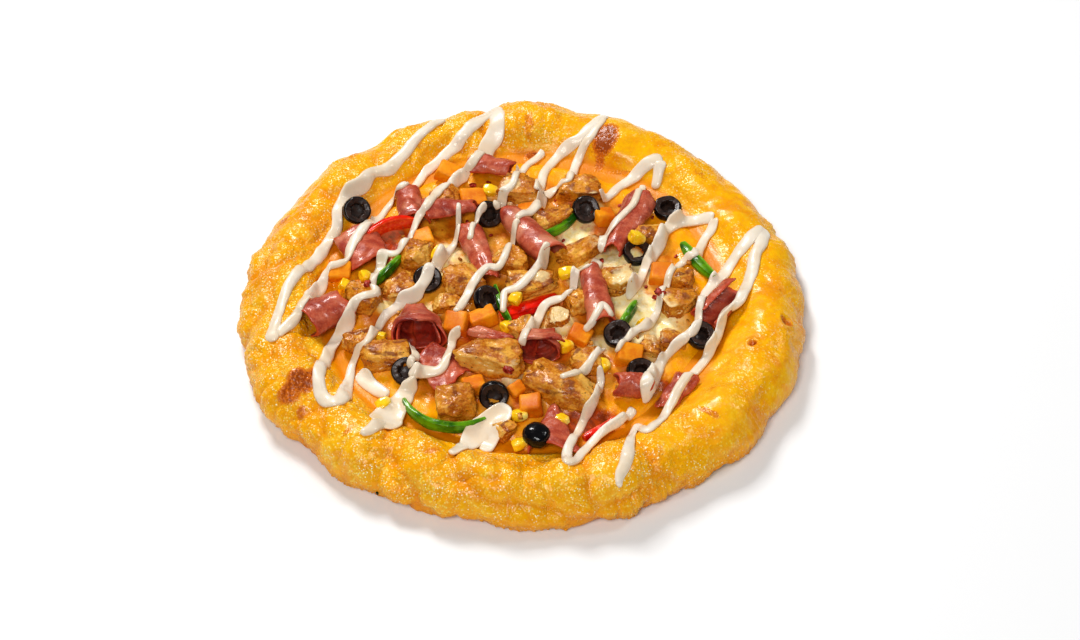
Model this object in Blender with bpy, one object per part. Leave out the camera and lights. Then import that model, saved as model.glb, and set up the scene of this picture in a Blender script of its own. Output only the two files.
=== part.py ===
"""A whole, uncut pan pizza, 300 mm across.

A cheddar-covered crust with a lumpy rim carries a bed of melted cheese. Ham, chicken,
olives and pepper lie on the bed. Dice of carrot, corn and the smallest chicken are joined
to the bed, and the thick mayonnaise strands on the rim are joined to the crust.

Metres, +Z up. The origin is the middle of the flat underside, and -Y is the near side.
Tables of toppings are in millimetres and degrees.
"""

import math

import bmesh
import bpy
from mathutils import Matrix, Vector, noise
from mathutils.bvhtree import BVHTree

MM = 0.001

# Crust
RIM_RADIUS = 147.5 * MM
FLOOR_HEIGHT = 14.0 * MM
FLOOR_RADIUS = 104 * MM
CRUST_STEPS = 84
CRUST_ROUGHNESS = 1.1 * MM
CRUST_NOISE_SCALE = 55
CRUST_SEED = 1795898754
RIM_BLEND = 16 * MM
LOBE_FULL_HEIGHT = 20 * MM

# Distance in from the rim's outer radius, and height, from the foot to the crust's floor
RIM_PROFILE = (
    (11, 0),
    (3.5, 2.5),
    (0, 7.5),
    (0.6, 12.5),
    (5, 18.5),
    (12, 23),
    (20, 24.5),
    (27.5, 22.5),
    (34, 18),
    (39.5, 15),
)

# Lobes and creases of the rim: plan angle, half width, rise, outward bulge
RIM_LOBES = (
    (62, 14, 2.0, -1.8),
    (88, 9, 0.5, 0.5),
    (107, 6, -2.0, -2.0),
    (125, 14, -0.5, -1.6),
    (160, 9, -1.0, -0.5),
    (182, 14, 1.0, 2.0),
    (204, 9, 3.0, 2.5),
    (224, 11, 1.5, 1.5),
    (240, 4, -3.0, -3.5),
    (257, 10, 1.5, -2.0),
    (274, 4, -3.5, -1.5),
    (289, 10, 2.0, 2.0),
    (306, 5, -2.0, -1.0),
    (320, 8, 2.5, 4.0),
    (331, 4, -1.5, -0.5),
    (342, 9, 1.5, 2.5),
    (4, 12, -1.0, 1.5),
    (34, 15, -1.0, -2.0),
)

# Bed of melted cheese
CUT_GAP = 0.35 * MM
REST_GAP = 0.6 * MM
BED_BOTTOM = FLOOR_HEIGHT + 0.4 * MM
BED_TOP = 16.0 * MM
BED_RADIUS = 102 * MM
BED_WAVER = 2.5 * MM
BED_STEPS = 48

# Share of its height that a piece is set below the surface it lies on
CHICKEN_TUCK = 0.12
BIT_TUCK = 0.08
CHEESE_TUCK = 0.5

# Torn chunks
LUMP_SQUARENESS = 0.62
LUMP_ROUGHNESS = 0.14
LUMP_DETAIL = 2
DICE_BEVEL = 1.6 * MM

# Ham slices
HAM_THICKNESS = 1.8 * MM
HAM_RIPPLE = 0.14
HAM_SWAY = 1.5
HAM_SPIRAL = 0.16

# Olive rings
OLIVE_DIAMETER = 15.5
OLIVE_HOLE = 7.5
OLIVE_SLICE = 5.6
OLIVE_STEPS = 12

# Mayonnaise
STRAND_STEP = 8.5 * MM
STRAND_HEIGHT = 2.6 * MM
STRAND_SINK = 2.2 * MM
STRAND_EDGE_SINK = 0.4 * MM
STRAND_END_SHARE = 0.55
STRAND_TURNS = (0, 50, 130, 180, 270)

# Folded ham: x, y, bearing of its long axis, length, width at both ends, height,
# the turns at which its section starts and ends, lift above the bed.
# In a section 0 is the left of the bearing, 90 the top and 180 the right.
HAM = {
    "ham_01": (-18, 88, -12, 24, 17, 11, 14, -60, 165, 0),
    "ham_02": (-62, 60, -78, 25, 14, 17, 13, -15, 200, 2),
    "ham_03": (-40, 54, 6, 28, 18, 8, 12, -60, 165, 2),
    "ham_04": (-87, 29, -70, 26, 26, 22, 11, -10, 195, 1),
    "ham_05": (-104, -21, 212, 23, 20, 20, 15, -60, 235, 0),
    "ham_06": (-56, -30, -84, 26, 22, 29, 16, -50, 225, 0),
    "ham_07": (-24, 23, -72, 40, 15, 11, 13, 0, 190, 3),
    "ham_08": (3, 35, -54, 40, 13, 19, 14, -50, 225, 2),
    "ham_09": (56, 45, -113, 44, 19, 10, 12, -10, 190, 4),
    "ham_10": (38, -11, -82, 40, 12, 16, 13, -45, 225, 2),
    "ham_11": (-44, -56, -52, 27, 20, 24, 6, 15, 165, 3),
    "ham_12": (8, -44, -88, 15, 25, 26, 15, 25, 335, 0.5),
    "ham_13": (-17, -34, -20, 22, 7, 6, 8, 0, 180, 2),
    "ham_14": (15, -96, -94, 28, 5, 28, 12, 0, 190, 0),
    "ham_15": (104, -13, -128, 29, 15, 17, 9.5, 105, 395, 0),
    "ham_16": (56, -70, 176, 18, 12, 12, 12, -60, 235, 0),
    "ham_17": (77, -71, -122, 26, 13, 9, 8, 0, 180, 0),
}

# Slices seen into from the near side: how far the top of the near end is drawn back,
# and the size of the far end against its plain one
HAM_OPENINGS = {"ham_06": (12, 0.4), "ham_12": (7, 0.7)}

# Olive rings: x, y, height of the middle, tilt, bearing that the tilt faces
OLIVES = {
    "olive_01": (-91, 55, 21, 42, -70),
    "olive_02": (-19, 51, 24, 50, -60),
    "olive_03": (34, 55, 24, 40, -80),
    "olive_04": (79, 59, 20.5, 12, -100),
    "olive_05": (61, 25, 21, 14, -90),
    "olive_06": (-51, 3, 23.5, 35, -75),
    "olive_07": (-19, -12, 23.5, 40, -40),
    "olive_08": (49, -36, 23, 20, -120),
    "olive_09": (92, -35, 20.5, 18, -60),
    "olive_10": (-15, -78, 21.5, 55, -85),
    "olive_12": (60, -61, 20.5, 25, -60),
    "olive_13": (-60, -61, 20.5, 35, -110),
}
OLIVE_END = (6.5, -103, 14.5, 13.5, 11)

# Pepper strips: x, y, bearing, length, turn of the bend, width, height, lift
PEPPERS = {
    "red_pepper_1": (-72, 46, 22, 32, -60, 5.5, 9, 0),
    "green_pepper_1": (-73, 9, 54, 27, 12, 4.5, 6, 3),
    "green_pepper_2": (21, 44, 42, 29, 45, 4.5, 5, 2.5),
    "red_pepper_2": (3, -14, 24, 33, 18, 10, 5, 0.5),
    "green_pepper_3": (-12, -14, -72, 27, 20, 4, 5.5, 3),
    "green_pepper_4": (55, -20, 62, 19, 14, 5, 6.5, 1),
    "green_pepper_5": (93, 20, -58, 30, 18, 7, 5, 0.5),
    "green_pepper_6": (-43, -94.5, -17, 50, 105, 4.5, 6, 0),
    "red_pepper_3": (41, -96, 34, 26, 12, 5.5, 5.5, 0),
}

# Chicken pieces: x, y, bearing, length, width, height
CHICKEN = {
    "chicken_01": (-42, 66, -9, 20, 15, 11),
    "chicken_02": (-2, 72, -11, 24, 18, 13),
    "chicken_03": (31, 72, -13, 24, 17, 13),
    "chicken_04": (15, 49, 29, 25, 13, 11),
    "chicken_05": (-58, 22, 0, 18, 17, 12),
    "chicken_06": (-85, -13, -17, 20, 15, 16),
    "chicken_07": (-64, 0, 23, 22, 16, 9),
    "chicken_08": (-32, 3, 20, 22, 22, 13),
    "chicken_09": (-7, 17, -13, 20, 16, 13),
    "chicken_10": (4, 0, 12, 27, 18, 13),
    "chicken_11": (31, 26, 39, 28, 13, 10),
    "chicken_12": (50, 3, 13, 19, 17, 14),
    "chicken_13": (-85, -39, 11, 18, 13, 11),
    "chicken_14": (-70, -50, 0, 26, 17, 12),
    "chicken_15": (-17, -51, -13, 36, 21, 14),
    "chicken_16": (20, -72, -26, 39, 22, 15),
    "chicken_17": (-35, -83, 6, 22, 18, 15),
    "chicken_18": (81, -12, 11, 20, 18, 13),
    "chicken_19": (68, 39, 0, 18, 13, 9),
}

# Small pieces joined to the bed: kind, x, y, bearing, length, width, height
BED_PIECES = (
    ("chicken", -40, -12, 4, 17, 12, 9),
    ("chicken", 28, -12, 19, 13, 14, 11),
    ("chicken", 18, -23, -13, 12, 11, 9),
    ("chicken", -1, -30, 20, 15, 12, 10),
    ("chicken", 33, -54, 9, 18, 15, 11),
    ("chicken", 84, 6, -22, 14, 12, 9),
    ("chicken", 66, -43, -14, 12, 13, 9),
    ("chicken", 77, -36, 4, 15, 12, 7),
    ("chicken", -9, -97, 33, 12, 10, 8),
    ("carrot", -42, 87, -20, 13, 11, 8),
    ("carrot", -28, 66, 8, 14, 12, 9),
    ("carrot", 3, 56, -5, 13, 9, 8),
    ("carrot", -55, 35, 15, 12, 11, 8),
    ("carrot", -98, 12, 0, 12, 11, 7),
    ("carrot", 44, 52, 20, 11, 11, 8),
    ("carrot", 73, 10, -8, 12, 13, 8),
    ("carrot", -35, -27, -12, 12, 12, 8),
    ("carrot", -21, -23, 22, 14, 10, 8),
    ("carrot", 29, -35, -25, 11, 10, 8),
    ("carrot", 54, -50, -6, 14, 12, 10),
    ("carrot", -25, -70, 14, 12, 12, 8),
    ("carrot", 4, -83, 0, 11, 11, 9),
    ("corn", -18, 71, -8, 10, 7, 5),
    ("corn", 23, 7, 8, 10, 7, 5),
    ("corn", -74, -34, 80, 8, 6, 5),
    ("corn", 40, -56, 20, 9, 8, 6),
    ("corn", -2, -89, -40, 10, 8, 6),
    ("corn", 63, -27, 50, 9, 7, 5),
    ("corn", -46, 23, 70, 10, 7, 5),
    ("corn", -94, 2, -15, 9, 7, 5),
    ("corn", -71, -80, 30, 9, 7, 5),
    ("cheese", 42, 36, 30, 22, 12, 3),
    ("cheese", -42, 14, 50, 20, 10, 3),
    ("cheese", 58, -8, 70, 24, 12, 3),
    ("cheese", 10, -60, 10, 22, 12, 3),
)

# Thick mayonnaise on the crust: x, y and width of the strand at each point of its route
STRANDS = (
    (
        (-44, 131, 7),
        (-63, 105, 8),
        (-86, 80, 7),
        (-103, 57, 8),
        (-106, 37, 7),
        (-116, 18, 7),
        (-125, -1, 7),
        (-129, -18, 7),
        (-131, -40, 11),
    ),
    ((-15, 136, 11), (-17, 122, 12), (-23, 109, 9)),
    ((46, 130, 10), (34, 120, 8), (21, 105, 6)),
    ((77, 97, 12), (67, 87, 8)),
    ((131, 39, 11), (121, 22, 11), (117, 4, 7), (112, -14, 6)),
    ((99, -46, 6), (88, -60, 7), (77, -86, 7), (62, -104, 7), (52, -119, 7), (46, -136, 7)),
    ((-101, -58, 7), (-105, -68, 8), (-104, -78, 9), (-94, -82, 8)),
    ((-80, -101, 15), (-72, -92, 10)),
    ((-36, -114, 13), (-26, -109, 10)),
    ((22, -122, 10), (30, -114, 8), (41, -106, 6)),
)


def clear_scene():
    for old in list(bpy.data.objects):
        bpy.data.objects.remove(old)


def bell(offset, width):
    return math.exp(-((offset / width) ** 2))


def smooth_step(low, high, value):
    share = min(1.0, max(0.0, (value - low) / (high - low)))
    return share * share * (3 - 2 * share)


def material(name, colour, roughness):
    made = bpy.data.materials.new(name)
    made.use_nodes = True
    shader = made.node_tree.nodes["Principled BSDF"]
    shader.inputs["Base Color"].default_value = (*colour, 1)
    shader.inputs["Roughness"].default_value = roughness
    shader.inputs["Metallic"].default_value = 0.0
    return made


def add_object(name, shape, finish, location=(0, 0, 0), turn=0.0):
    """An object made from a bmesh, which is used up, turned about Z by degrees."""
    mesh = bpy.data.meshes.new(name)
    shape.to_mesh(mesh)
    shape.free()
    mesh.shade_smooth()
    if finish:
        mesh.materials.append(finish)
    made = bpy.data.objects.new(name, mesh)
    bpy.context.collection.objects.link(made)
    made.location = location
    made.rotation_euler = (0, 0, math.radians(turn))
    return made


def turned_profile(points, steps):
    """A closed solid of revolution, from (radius, height) points between two on the axis."""
    shape = bmesh.new()
    corners = [shape.verts.new((radius, 0, height)) for radius, height in points]
    edges = [shape.edges.new(pair) for pair in zip(corners, corners[1:])]
    bmesh.ops.spin(
        shape,
        geom=corners + edges,
        cent=(0, 0, 0),
        axis=(0, 0, 1),
        angle=math.tau,
        steps=steps,
        use_merge=True,
    )
    bmesh.ops.remove_doubles(shape, verts=shape.verts, dist=0.01 * MM)
    bmesh.ops.recalc_face_normals(shape, faces=shape.faces)
    return shape


def lobe_sum(angle):
    """Rise and outward bulge of the rim at a plan angle in degrees, in millimetres."""
    rise = 0.0
    bulge = 0.0
    for middle, width, lobe_rise, lobe_bulge in RIM_LOBES:
        offset = (angle - middle + 180) % 360 - 180
        share = bell(offset, width)
        rise += lobe_rise * share
        bulge += lobe_bulge * share
    return rise, bulge


def shaped_crust_point(point):
    """A point of the plain turned crust, moved to make its lobes, creases and bumps."""
    radius = math.hypot(point.x, point.y)
    if radius < FLOOR_RADIUS:
        return point.copy()
    rise, bulge = lobe_sum(math.degrees(math.atan2(point.y, point.x)))
    on_rim = smooth_step(FLOOR_RADIUS, FLOOR_RADIUS + RIM_BLEND, radius)
    above_foot = smooth_step(2 * MM, LOBE_FULL_HEIGHT, point.z)
    bump = noise.noise_vector(point * CRUST_NOISE_SCALE) * CRUST_ROUGHNESS * on_rim
    outward = Vector((point.x, point.y, 0)) / radius
    moved = point + outward * (bulge * MM * on_rim + bump.x)
    moved.z += (rise * MM + 1.6 * bump.z) * on_rim * above_foot
    return moved


def crust_shape():
    points = [(0.0, 0.0)]
    points += [(RIM_RADIUS - inset * MM, height * MM) for inset, height in RIM_PROFILE]
    points += [(FLOOR_RADIUS - 1 * MM, FLOOR_HEIGHT), (0.0, FLOOR_HEIGHT)]
    shape = turned_profile(points, CRUST_STEPS)
    noise.seed_set(CRUST_SEED)
    for corner in shape.verts:
        corner.co = shaped_crust_point(corner.co)
    return shape


def smooth_route(points, step):
    """Points about a step apart on a curve through the given ones, all of (x, y, width) in metres."""
    route = [Vector(point) * MM for point in points]
    ends = [2 * route[0] - route[1]] + route + [2 * route[-1] - route[-2]]
    made = []
    for before, start, end, after in zip(ends, ends[1:], ends[2:], ends[3:]):
        count = max(1, round((end.xy - start.xy).length / step))
        for index in range(count):
            t = index / count
            made.append(
                0.5
                * (
                    2 * start
                    + (end - before) * t
                    + (2 * before - 5 * start + 4 * end - after) * t**2
                    + (3 * start - before - 3 * end + after) * t**3
                )
            )
    made.append(route[-1])
    return made


def strand_shape(points, surface):
    """A mayonnaise strand draped on a surface: a low arch above it, sunk into it below."""
    route = smooth_route(points, STRAND_STEP)
    shape = bmesh.new()
    rings = []
    for index, station in enumerate(route):
        ahead = route[min(index + 1, len(route) - 1)]
        behind = route[max(index - 1, 0)]
        along = (ahead - behind).xy.normalized()
        side = Vector((along.y, -along.x))
        at_end = index in (0, len(route) - 1)
        half_width = station.z / 2 * (STRAND_END_SHARE if at_end else 1.0)
        ring = []
        for turn in STRAND_TURNS:
            across = half_width * math.cos(math.radians(turn))
            spot = station.xy + side * across
            hit = surface.ray_cast(Vector((spot.x, spot.y, 0.1)), Vector((0, 0, -1)))[0]
            lift = math.sin(math.radians(turn))
            lift *= STRAND_HEIGHT if lift > 0 else STRAND_SINK
            if turn in (0, 180):
                lift = -STRAND_EDGE_SINK
            ring.append(shape.verts.new((spot.x, spot.y, hit.z + lift)))
        rings.append(ring)
    for ring, following in zip(rings, rings[1:]):
        for index in range(len(ring)):
            after = (index + 1) % len(ring)
            shape.faces.new((ring[index], ring[after], following[after], following[index]))
    shape.faces.new(rings[0][::-1])
    shape.faces.new(rings[-1])
    bmesh.ops.triangulate(shape, faces=shape.faces)
    bmesh.ops.recalc_face_normals(shape, faces=shape.faces)
    return shape


def evaluated_mesh(made):
    graph = bpy.context.evaluated_depsgraph_get()
    return bpy.data.meshes.new_from_object(made.evaluated_get(graph))


def largest_body(mesh):
    """Drops every loose scrap of a mesh but its largest body."""
    shape = bmesh.new()
    shape.from_mesh(mesh)
    bodies = []
    waiting = set(shape.verts)
    while waiting:
        front = [waiting.pop()]
        body = set(front)
        while front:
            for edge in front.pop().link_edges:
                for corner in edge.verts:
                    if corner in waiting:
                        waiting.remove(corner)
                        body.add(corner)
                        front.append(corner)
        bodies.append(body)
    bodies.sort(key=body_size)
    scraps = [corner for body in bodies[:-1] for corner in body]
    bmesh.ops.delete(shape, geom=scraps, context="VERTS")
    shape.to_mesh(mesh)
    shape.free()


def body_size(corners):
    spans = []
    for axis in range(3):
        places = sorted(corner.co[axis] for corner in corners)
        spans.append(places[-1] - places[0])
    return spans[0] * spans[1] * spans[2]


def is_closed(mesh):
    shape = bmesh.new()
    shape.from_mesh(mesh)
    closed = all(len(edge.link_faces) == 2 for edge in shape.edges)
    shape.free()
    return closed


def combine(made, others, operation):
    """Applies one Boolean with a collection of objects, then removes them."""
    if not others:
        return
    group = bpy.data.collections.new(made.name + "_tools")
    for other in others:
        group.objects.link(other)
        other.hide_render = True
        other.display_type = "WIRE"
    cut = made.modifiers.new("combine", "BOOLEAN")
    cut.operation = operation
    cut.operand_type = "COLLECTION"
    cut.collection = group
    for solver in ("EXACT", "MANIFOLD"):
        cut.solver = solver
        bpy.context.view_layer.update()
        mesh = evaluated_mesh(made)
        if is_closed(mesh):
            break
    made.modifiers.clear()
    made.data = mesh
    largest_body(mesh)
    for other in others:
        bpy.data.objects.remove(other)
    bpy.data.collections.remove(group)


def world_box(made):
    bpy.context.view_layer.update()
    corners = [made.matrix_world @ Vector(corner) for corner in made.bound_box]
    low = Vector([min(corner[axis] for corner in corners) for axis in range(3)])
    high = Vector([max(corner[axis] for corner in corners) for axis in range(3)])
    return low, high


def grown_copy(made):
    """A copy of a piece with its surface moved out by the gap, as a cutter."""
    mesh = evaluated_mesh(made)
    mesh.transform(made.matrix_world)
    shape = bmesh.new()
    shape.from_mesh(mesh)
    shape.normal_update()
    moves = [corner.normal * corner.calc_shell_factor() * CUT_GAP for corner in shape.verts]
    for corner, move in zip(shape.verts, moves):
        corner.co += move.normalized() * min(move.length, 1.6 * CUT_GAP)
    return add_object(made.name + "_gap", shape, None)


def boxes_meet(first, second):
    return all(
        first[0][axis] < second[1][axis] + CUT_GAP and second[0][axis] < first[1][axis] + CUT_GAP
        for axis in range(3)
    )


def reach(box):
    """Plan distance from the middle of the pizza to the farthest corner of a box."""
    low, high = box
    return math.hypot(max(-low.x, high.x), max(-low.y, high.y))


def trim(pieces, crust):
    """Cuts each piece back from the rim and from the ones before it, so that none touch."""
    boxes = []
    for index, made in enumerate(pieces):
        box = world_box(made)
        near = [pieces[earlier] for earlier in range(index) if boxes_meet(box, boxes[earlier])]
        if reach(box) > FLOOR_RADIUS:
            near.append(crust)
        combine(made, [grown_copy(other) for other in near], "DIFFERENCE")
        boxes.append(world_box(made))


def rest_on_bed(shape, lift, tuck=0.0):
    """Moves a shape so that its lowest point is the lift above the bed."""
    lowest = min(corner.co.z for corner in shape.verts)
    bottom = BED_TOP + REST_GAP + tuck + lift
    bmesh.ops.translate(shape, verts=shape.verts, vec=(0, 0, bottom - lowest))


def lump_shape(
    length,
    width,
    height,
    seed,
    squareness=LUMP_SQUARENESS,
    roughness=LUMP_ROUGHNESS,
    detail=LUMP_DETAIL,
):
    """A torn chunk: a ball pushed towards a block, then made uneven."""
    shape = bmesh.new()
    bmesh.ops.create_icosphere(shape, subdivisions=detail, radius=1.0)
    shift = Vector((seed * 7.3, seed * 3.1, seed * 5.7))
    for corner in shape.verts:
        place = corner.co.copy()
        block = place / max(abs(place.x), abs(place.y), abs(place.z))
        place = place.lerp(block, squareness)
        place *= 1 + roughness * noise.noise(place * 1.3 + shift)
        place.x *= length / 2 * MM
        place.y *= width / 2 * MM
        place.z *= height / 2 * MM
        corner.co = place
    return shape


def ham_shape(length, start_width, end_width, height, start, end, opening, seed):
    """A thin slice rolled or folded along its length, open between its two edges."""
    drawn_back, far_share = opening
    shape = bmesh.new()
    bmesh.ops.create_grid(shape, x_segments=7, y_segments=3, size=1)
    shift = Vector((seed * 2.7, seed * 4.1, 0))
    for corner in shape.verts:
        across = (corner.co.x + 1) / 2
        along = (corner.co.y + 1) / 2
        turn = math.radians(start + (end - start) * across)
        width = (start_width + (end_width - start_width) * along) / 2
        grow = 0.55 + 0.45 * width * 2 / max(start_width, end_width)
        size = 1 - HAM_SPIRAL * across
        size *= 1 + HAM_RIPPLE * noise.noise(Vector((across * 5, along * 3, 0)) + shift)
        size *= far_share + (1 - far_share) * smooth_step(0, 0.6, along)
        sway = HAM_SWAY * math.sin(turn * 2 + seed)
        back = drawn_back * smooth_step(-0.4, 1, math.sin(turn)) * along**3
        corner.co = Vector(
            (
                (along - 0.5) * length + sway - back,
                width * size * math.cos(turn),
                height / 2 * grow * size * math.sin(turn),
            )
        ) * MM
    bmesh.ops.recalc_face_normals(shape, faces=shape.faces)
    return shape


def add_ham(finish):
    made = []
    for index, (name, values) in enumerate(HAM.items()):
        x, y, bearing, length, start_width, end_width, height, start, end, lift = values
        opening = HAM_OPENINGS.get(name, (0, 1))
        shape = ham_shape(length, start_width, end_width, height, start, end, opening, index)
        rest_on_bed(shape, lift * MM, HAM_THICKNESS / 2)
        piece = add_object(name, shape, finish, (x * MM, y * MM, 0), bearing)
        wall = piece.modifiers.new("slice", "SOLIDIFY")
        wall.thickness = HAM_THICKNESS
        wall.offset = 0
        made.append(piece)
    return made


def olive_ring_shape():
    """A slice of a stoned olive: a ring whose outer side swells."""
    inner = OLIVE_HOLE / 2
    outer = OLIVE_DIAMETER / 2
    half = OLIVE_SLICE / 2
    section = (
        (inner, -half * 0.8),
        (outer - 1.2, -half),
        (outer, -half * 0.2),
        (outer - 0.9, half),
        (inner, half * 0.8),
    )
    shape = bmesh.new()
    corners = [shape.verts.new((radius * MM, 0, height * MM)) for radius, height in section]
    edges = [shape.edges.new(pair) for pair in zip(corners, corners[1:] + corners[:1])]
    bmesh.ops.spin(
        shape,
        geom=corners + edges,
        cent=(0, 0, 0),
        axis=(0, 0, 1),
        angle=math.tau,
        steps=OLIVE_STEPS,
        use_merge=True,
    )
    bmesh.ops.recalc_face_normals(shape, faces=shape.faces)
    return shape


def add_olives(finish):
    made = []
    for name, (x, y, height, tilt, bearing) in OLIVES.items():
        shape = olive_ring_shape()
        lean = Matrix.Rotation(math.radians(bearing), 3, "Z") @ Matrix.Rotation(math.radians(tilt), 3, "Y")
        bmesh.ops.rotate(shape, verts=shape.verts, cent=(0, 0, 0), matrix=lean)
        bmesh.ops.translate(shape, verts=shape.verts, vec=(0, 0, height * MM))
        lowest = min(corner.co.z for corner in shape.verts)
        raised = max(0.0, BED_TOP + REST_GAP - lowest)
        made.append(add_object(name, shape, finish, (x * MM, y * MM, raised)))
    x, y, length, width, height = OLIVE_END
    shape = lump_shape(length, width, height, 4, squareness=0.1, roughness=0.03)
    rest_on_bed(shape, 0)
    made.append(add_object("olive_11", shape, finish, (x * MM, y * MM, 0), -30))
    return made


def pepper_shape(length, bend, width, height):
    """A strip of pepper wall, bent in plan by the given turn from end to end."""
    shape = bmesh.new()
    bmesh.ops.create_cube(shape, size=1)
    long_edges = [
        edge for edge in shape.edges if abs(edge.verts[0].co.x - edge.verts[1].co.x) > 0.5
    ]
    bmesh.ops.subdivide_edges(shape, edges=long_edges, cuts=6, use_grid_fill=True)
    radius = length / math.radians(bend)
    for corner in shape.verts:
        share = corner.co.x * 2
        narrow = 1 - 0.45 * abs(share) ** 3
        turn = math.radians(bend) * corner.co.x
        crown = 1 - 0.25 * (corner.co.z > 0)
        reach = radius - corner.co.y * width * narrow * crown
        corner.co = Vector(
            (
                reach * math.sin(turn),
                radius - reach * math.cos(turn),
                corner.co.z * height * narrow,
            )
        ) * MM
    return shape


def add_peppers(red, green):
    made = []
    for name, (x, y, bearing, length, bend, width, height, lift) in PEPPERS.items():
        shape = pepper_shape(length, bend, width, height)
        rest_on_bed(shape, lift * MM)
        finish = red if name.startswith("red") else green
        made.append(add_object(name, shape, finish, (x * MM, y * MM, 0), bearing))
    return made


def add_chicken(finish):
    made = []
    for index, (name, (x, y, bearing, length, width, height)) in enumerate(CHICKEN.items()):
        shape = lump_shape(length, width, height, index + 1)
        rest_on_bed(shape, -CHICKEN_TUCK * height * MM)
        floor = BED_TOP + REST_GAP
        for corner in shape.verts:
            corner.co.z = max(corner.co.z, floor)
        made.append(add_object(name, shape, finish, (x * MM, y * MM, 0), bearing))
    return made


def bed_edge(angle):
    """Radius of the uneven edge of the cheese."""
    spot = Vector((math.cos(angle), math.sin(angle), 0.3)) * 2.2
    return BED_RADIUS + BED_WAVER * 2 * noise.noise(spot)


def bed_shape():
    mid = (BED_BOTTOM + BED_TOP) / 2
    profile = ((0, BED_BOTTOM), (0.985, BED_BOTTOM), (1, mid), (0.98, BED_TOP), (0, BED_TOP))
    shape = turned_profile([(share, height) for share, height in profile], BED_STEPS)
    for corner in shape.verts:
        reach = bed_edge(math.atan2(corner.co.y, corner.co.x))
        corner.co.x *= reach
        corner.co.y *= reach
    return shape


def bed_piece_shape(kind, length, width, height, seed):
    if kind == "chicken":
        shape = lump_shape(length, width, height, seed)
    elif kind == "corn":
        shape = lump_shape(length, width, height, seed, 0.3, 0.05, 1)
    elif kind == "cheese":
        shape = lump_shape(length, width, height, seed, 0.1, 0.2, 1)
    else:
        shape = bmesh.new()
        bmesh.ops.create_cube(shape, size=1)
        bmesh.ops.scale(shape, verts=shape.verts, vec=(length * MM, width * MM, height * MM))
        bmesh.ops.bevel(
            shape,
            geom=shape.edges,
            offset=DICE_BEVEL,
            segments=1,
            profile=0.5,
            affect="EDGES",
            material=-1,
        )
    return shape


def add_bed(finish, toppings):
    bed = add_object("cheese_bed", bed_shape(), finish)
    pieces = []
    for index, (kind, x, y, bearing, length, width, height) in enumerate(BED_PIECES):
        shape = bed_piece_shape(kind, length, width, height, index + 30)
        lowest = min(corner.co.z for corner in shape.verts)
        tuck = CHEESE_TUCK if kind == "cheese" else BIT_TUCK
        sunk = BED_TOP - lowest - tuck * height * MM
        floor = BED_BOTTOM + (0.4 + 0.02 * index) * MM
        for corner in shape.verts:
            corner.co.z = max(corner.co.z + sunk, floor)
        name = f"{kind}_bit_{index}"
        pieces.append(add_object(name, shape, None, (x * MM, y * MM, 0), bearing))
    combine(bed, pieces, "UNION")
    combine(bed, [grown_copy(topping) for topping in toppings], "DIFFERENCE")
    return bed


def add_crust(finish):
    shape = crust_shape()
    surface = BVHTree.FromBMesh(shape)
    strands = [strand_shape(points, surface) for points in STRANDS]
    crust = add_object("crust", shape, finish)
    pieces = [
        add_object(f"strand_{index}", strand, None) for index, strand in enumerate(strands)
    ]
    combine(crust, pieces, "UNION")
    return crust


def main():
    clear_scene()
    baked_cheddar = material("baked_cheddar", (0.88, 0.45, 0.03), 0.42)
    melted_cheese = material("melted_cheese", (0.84, 0.55, 0.18), 0.35)
    ham_slice = material("ham_slice", (0.62, 0.16, 0.13), 0.38)
    olive_skin = material("olive_skin", (0.012, 0.010, 0.013), 0.2)
    red_pepper = material("red_pepper", (0.70, 0.03, 0.01), 0.25)
    green_pepper = material("green_pepper", (0.07, 0.24, 0.01), 0.25)
    roast_chicken = material("roast_chicken", (0.55, 0.27, 0.06), 0.5)
    crust = add_crust(baked_cheddar)
    olives = add_olives(olive_skin)
    peppers = add_peppers(red_pepper, green_pepper)
    toppings = olives + peppers + add_ham(ham_slice) + add_chicken(roast_chicken)
    trim(toppings, crust)
    add_bed(melted_cheese, toppings)


main()
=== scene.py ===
import math
from functools import lru_cache

import bmesh
import bpy
import numpy as np
from mathutils import Matrix, Vector, noise
from mathutils.bvhtree import BVHTree


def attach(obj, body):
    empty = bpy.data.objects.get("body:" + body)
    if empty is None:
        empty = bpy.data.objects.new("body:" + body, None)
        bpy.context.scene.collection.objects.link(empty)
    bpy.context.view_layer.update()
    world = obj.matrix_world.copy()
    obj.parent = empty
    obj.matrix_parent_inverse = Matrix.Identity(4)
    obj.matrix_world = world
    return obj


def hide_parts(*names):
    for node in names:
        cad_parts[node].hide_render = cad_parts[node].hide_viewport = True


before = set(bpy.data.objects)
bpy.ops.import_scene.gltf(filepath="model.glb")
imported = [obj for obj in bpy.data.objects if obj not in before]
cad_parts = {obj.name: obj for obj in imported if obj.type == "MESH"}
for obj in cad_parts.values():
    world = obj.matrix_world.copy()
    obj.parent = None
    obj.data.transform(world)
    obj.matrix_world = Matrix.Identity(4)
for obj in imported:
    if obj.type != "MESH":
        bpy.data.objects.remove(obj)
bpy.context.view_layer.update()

mm = 0.001

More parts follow.
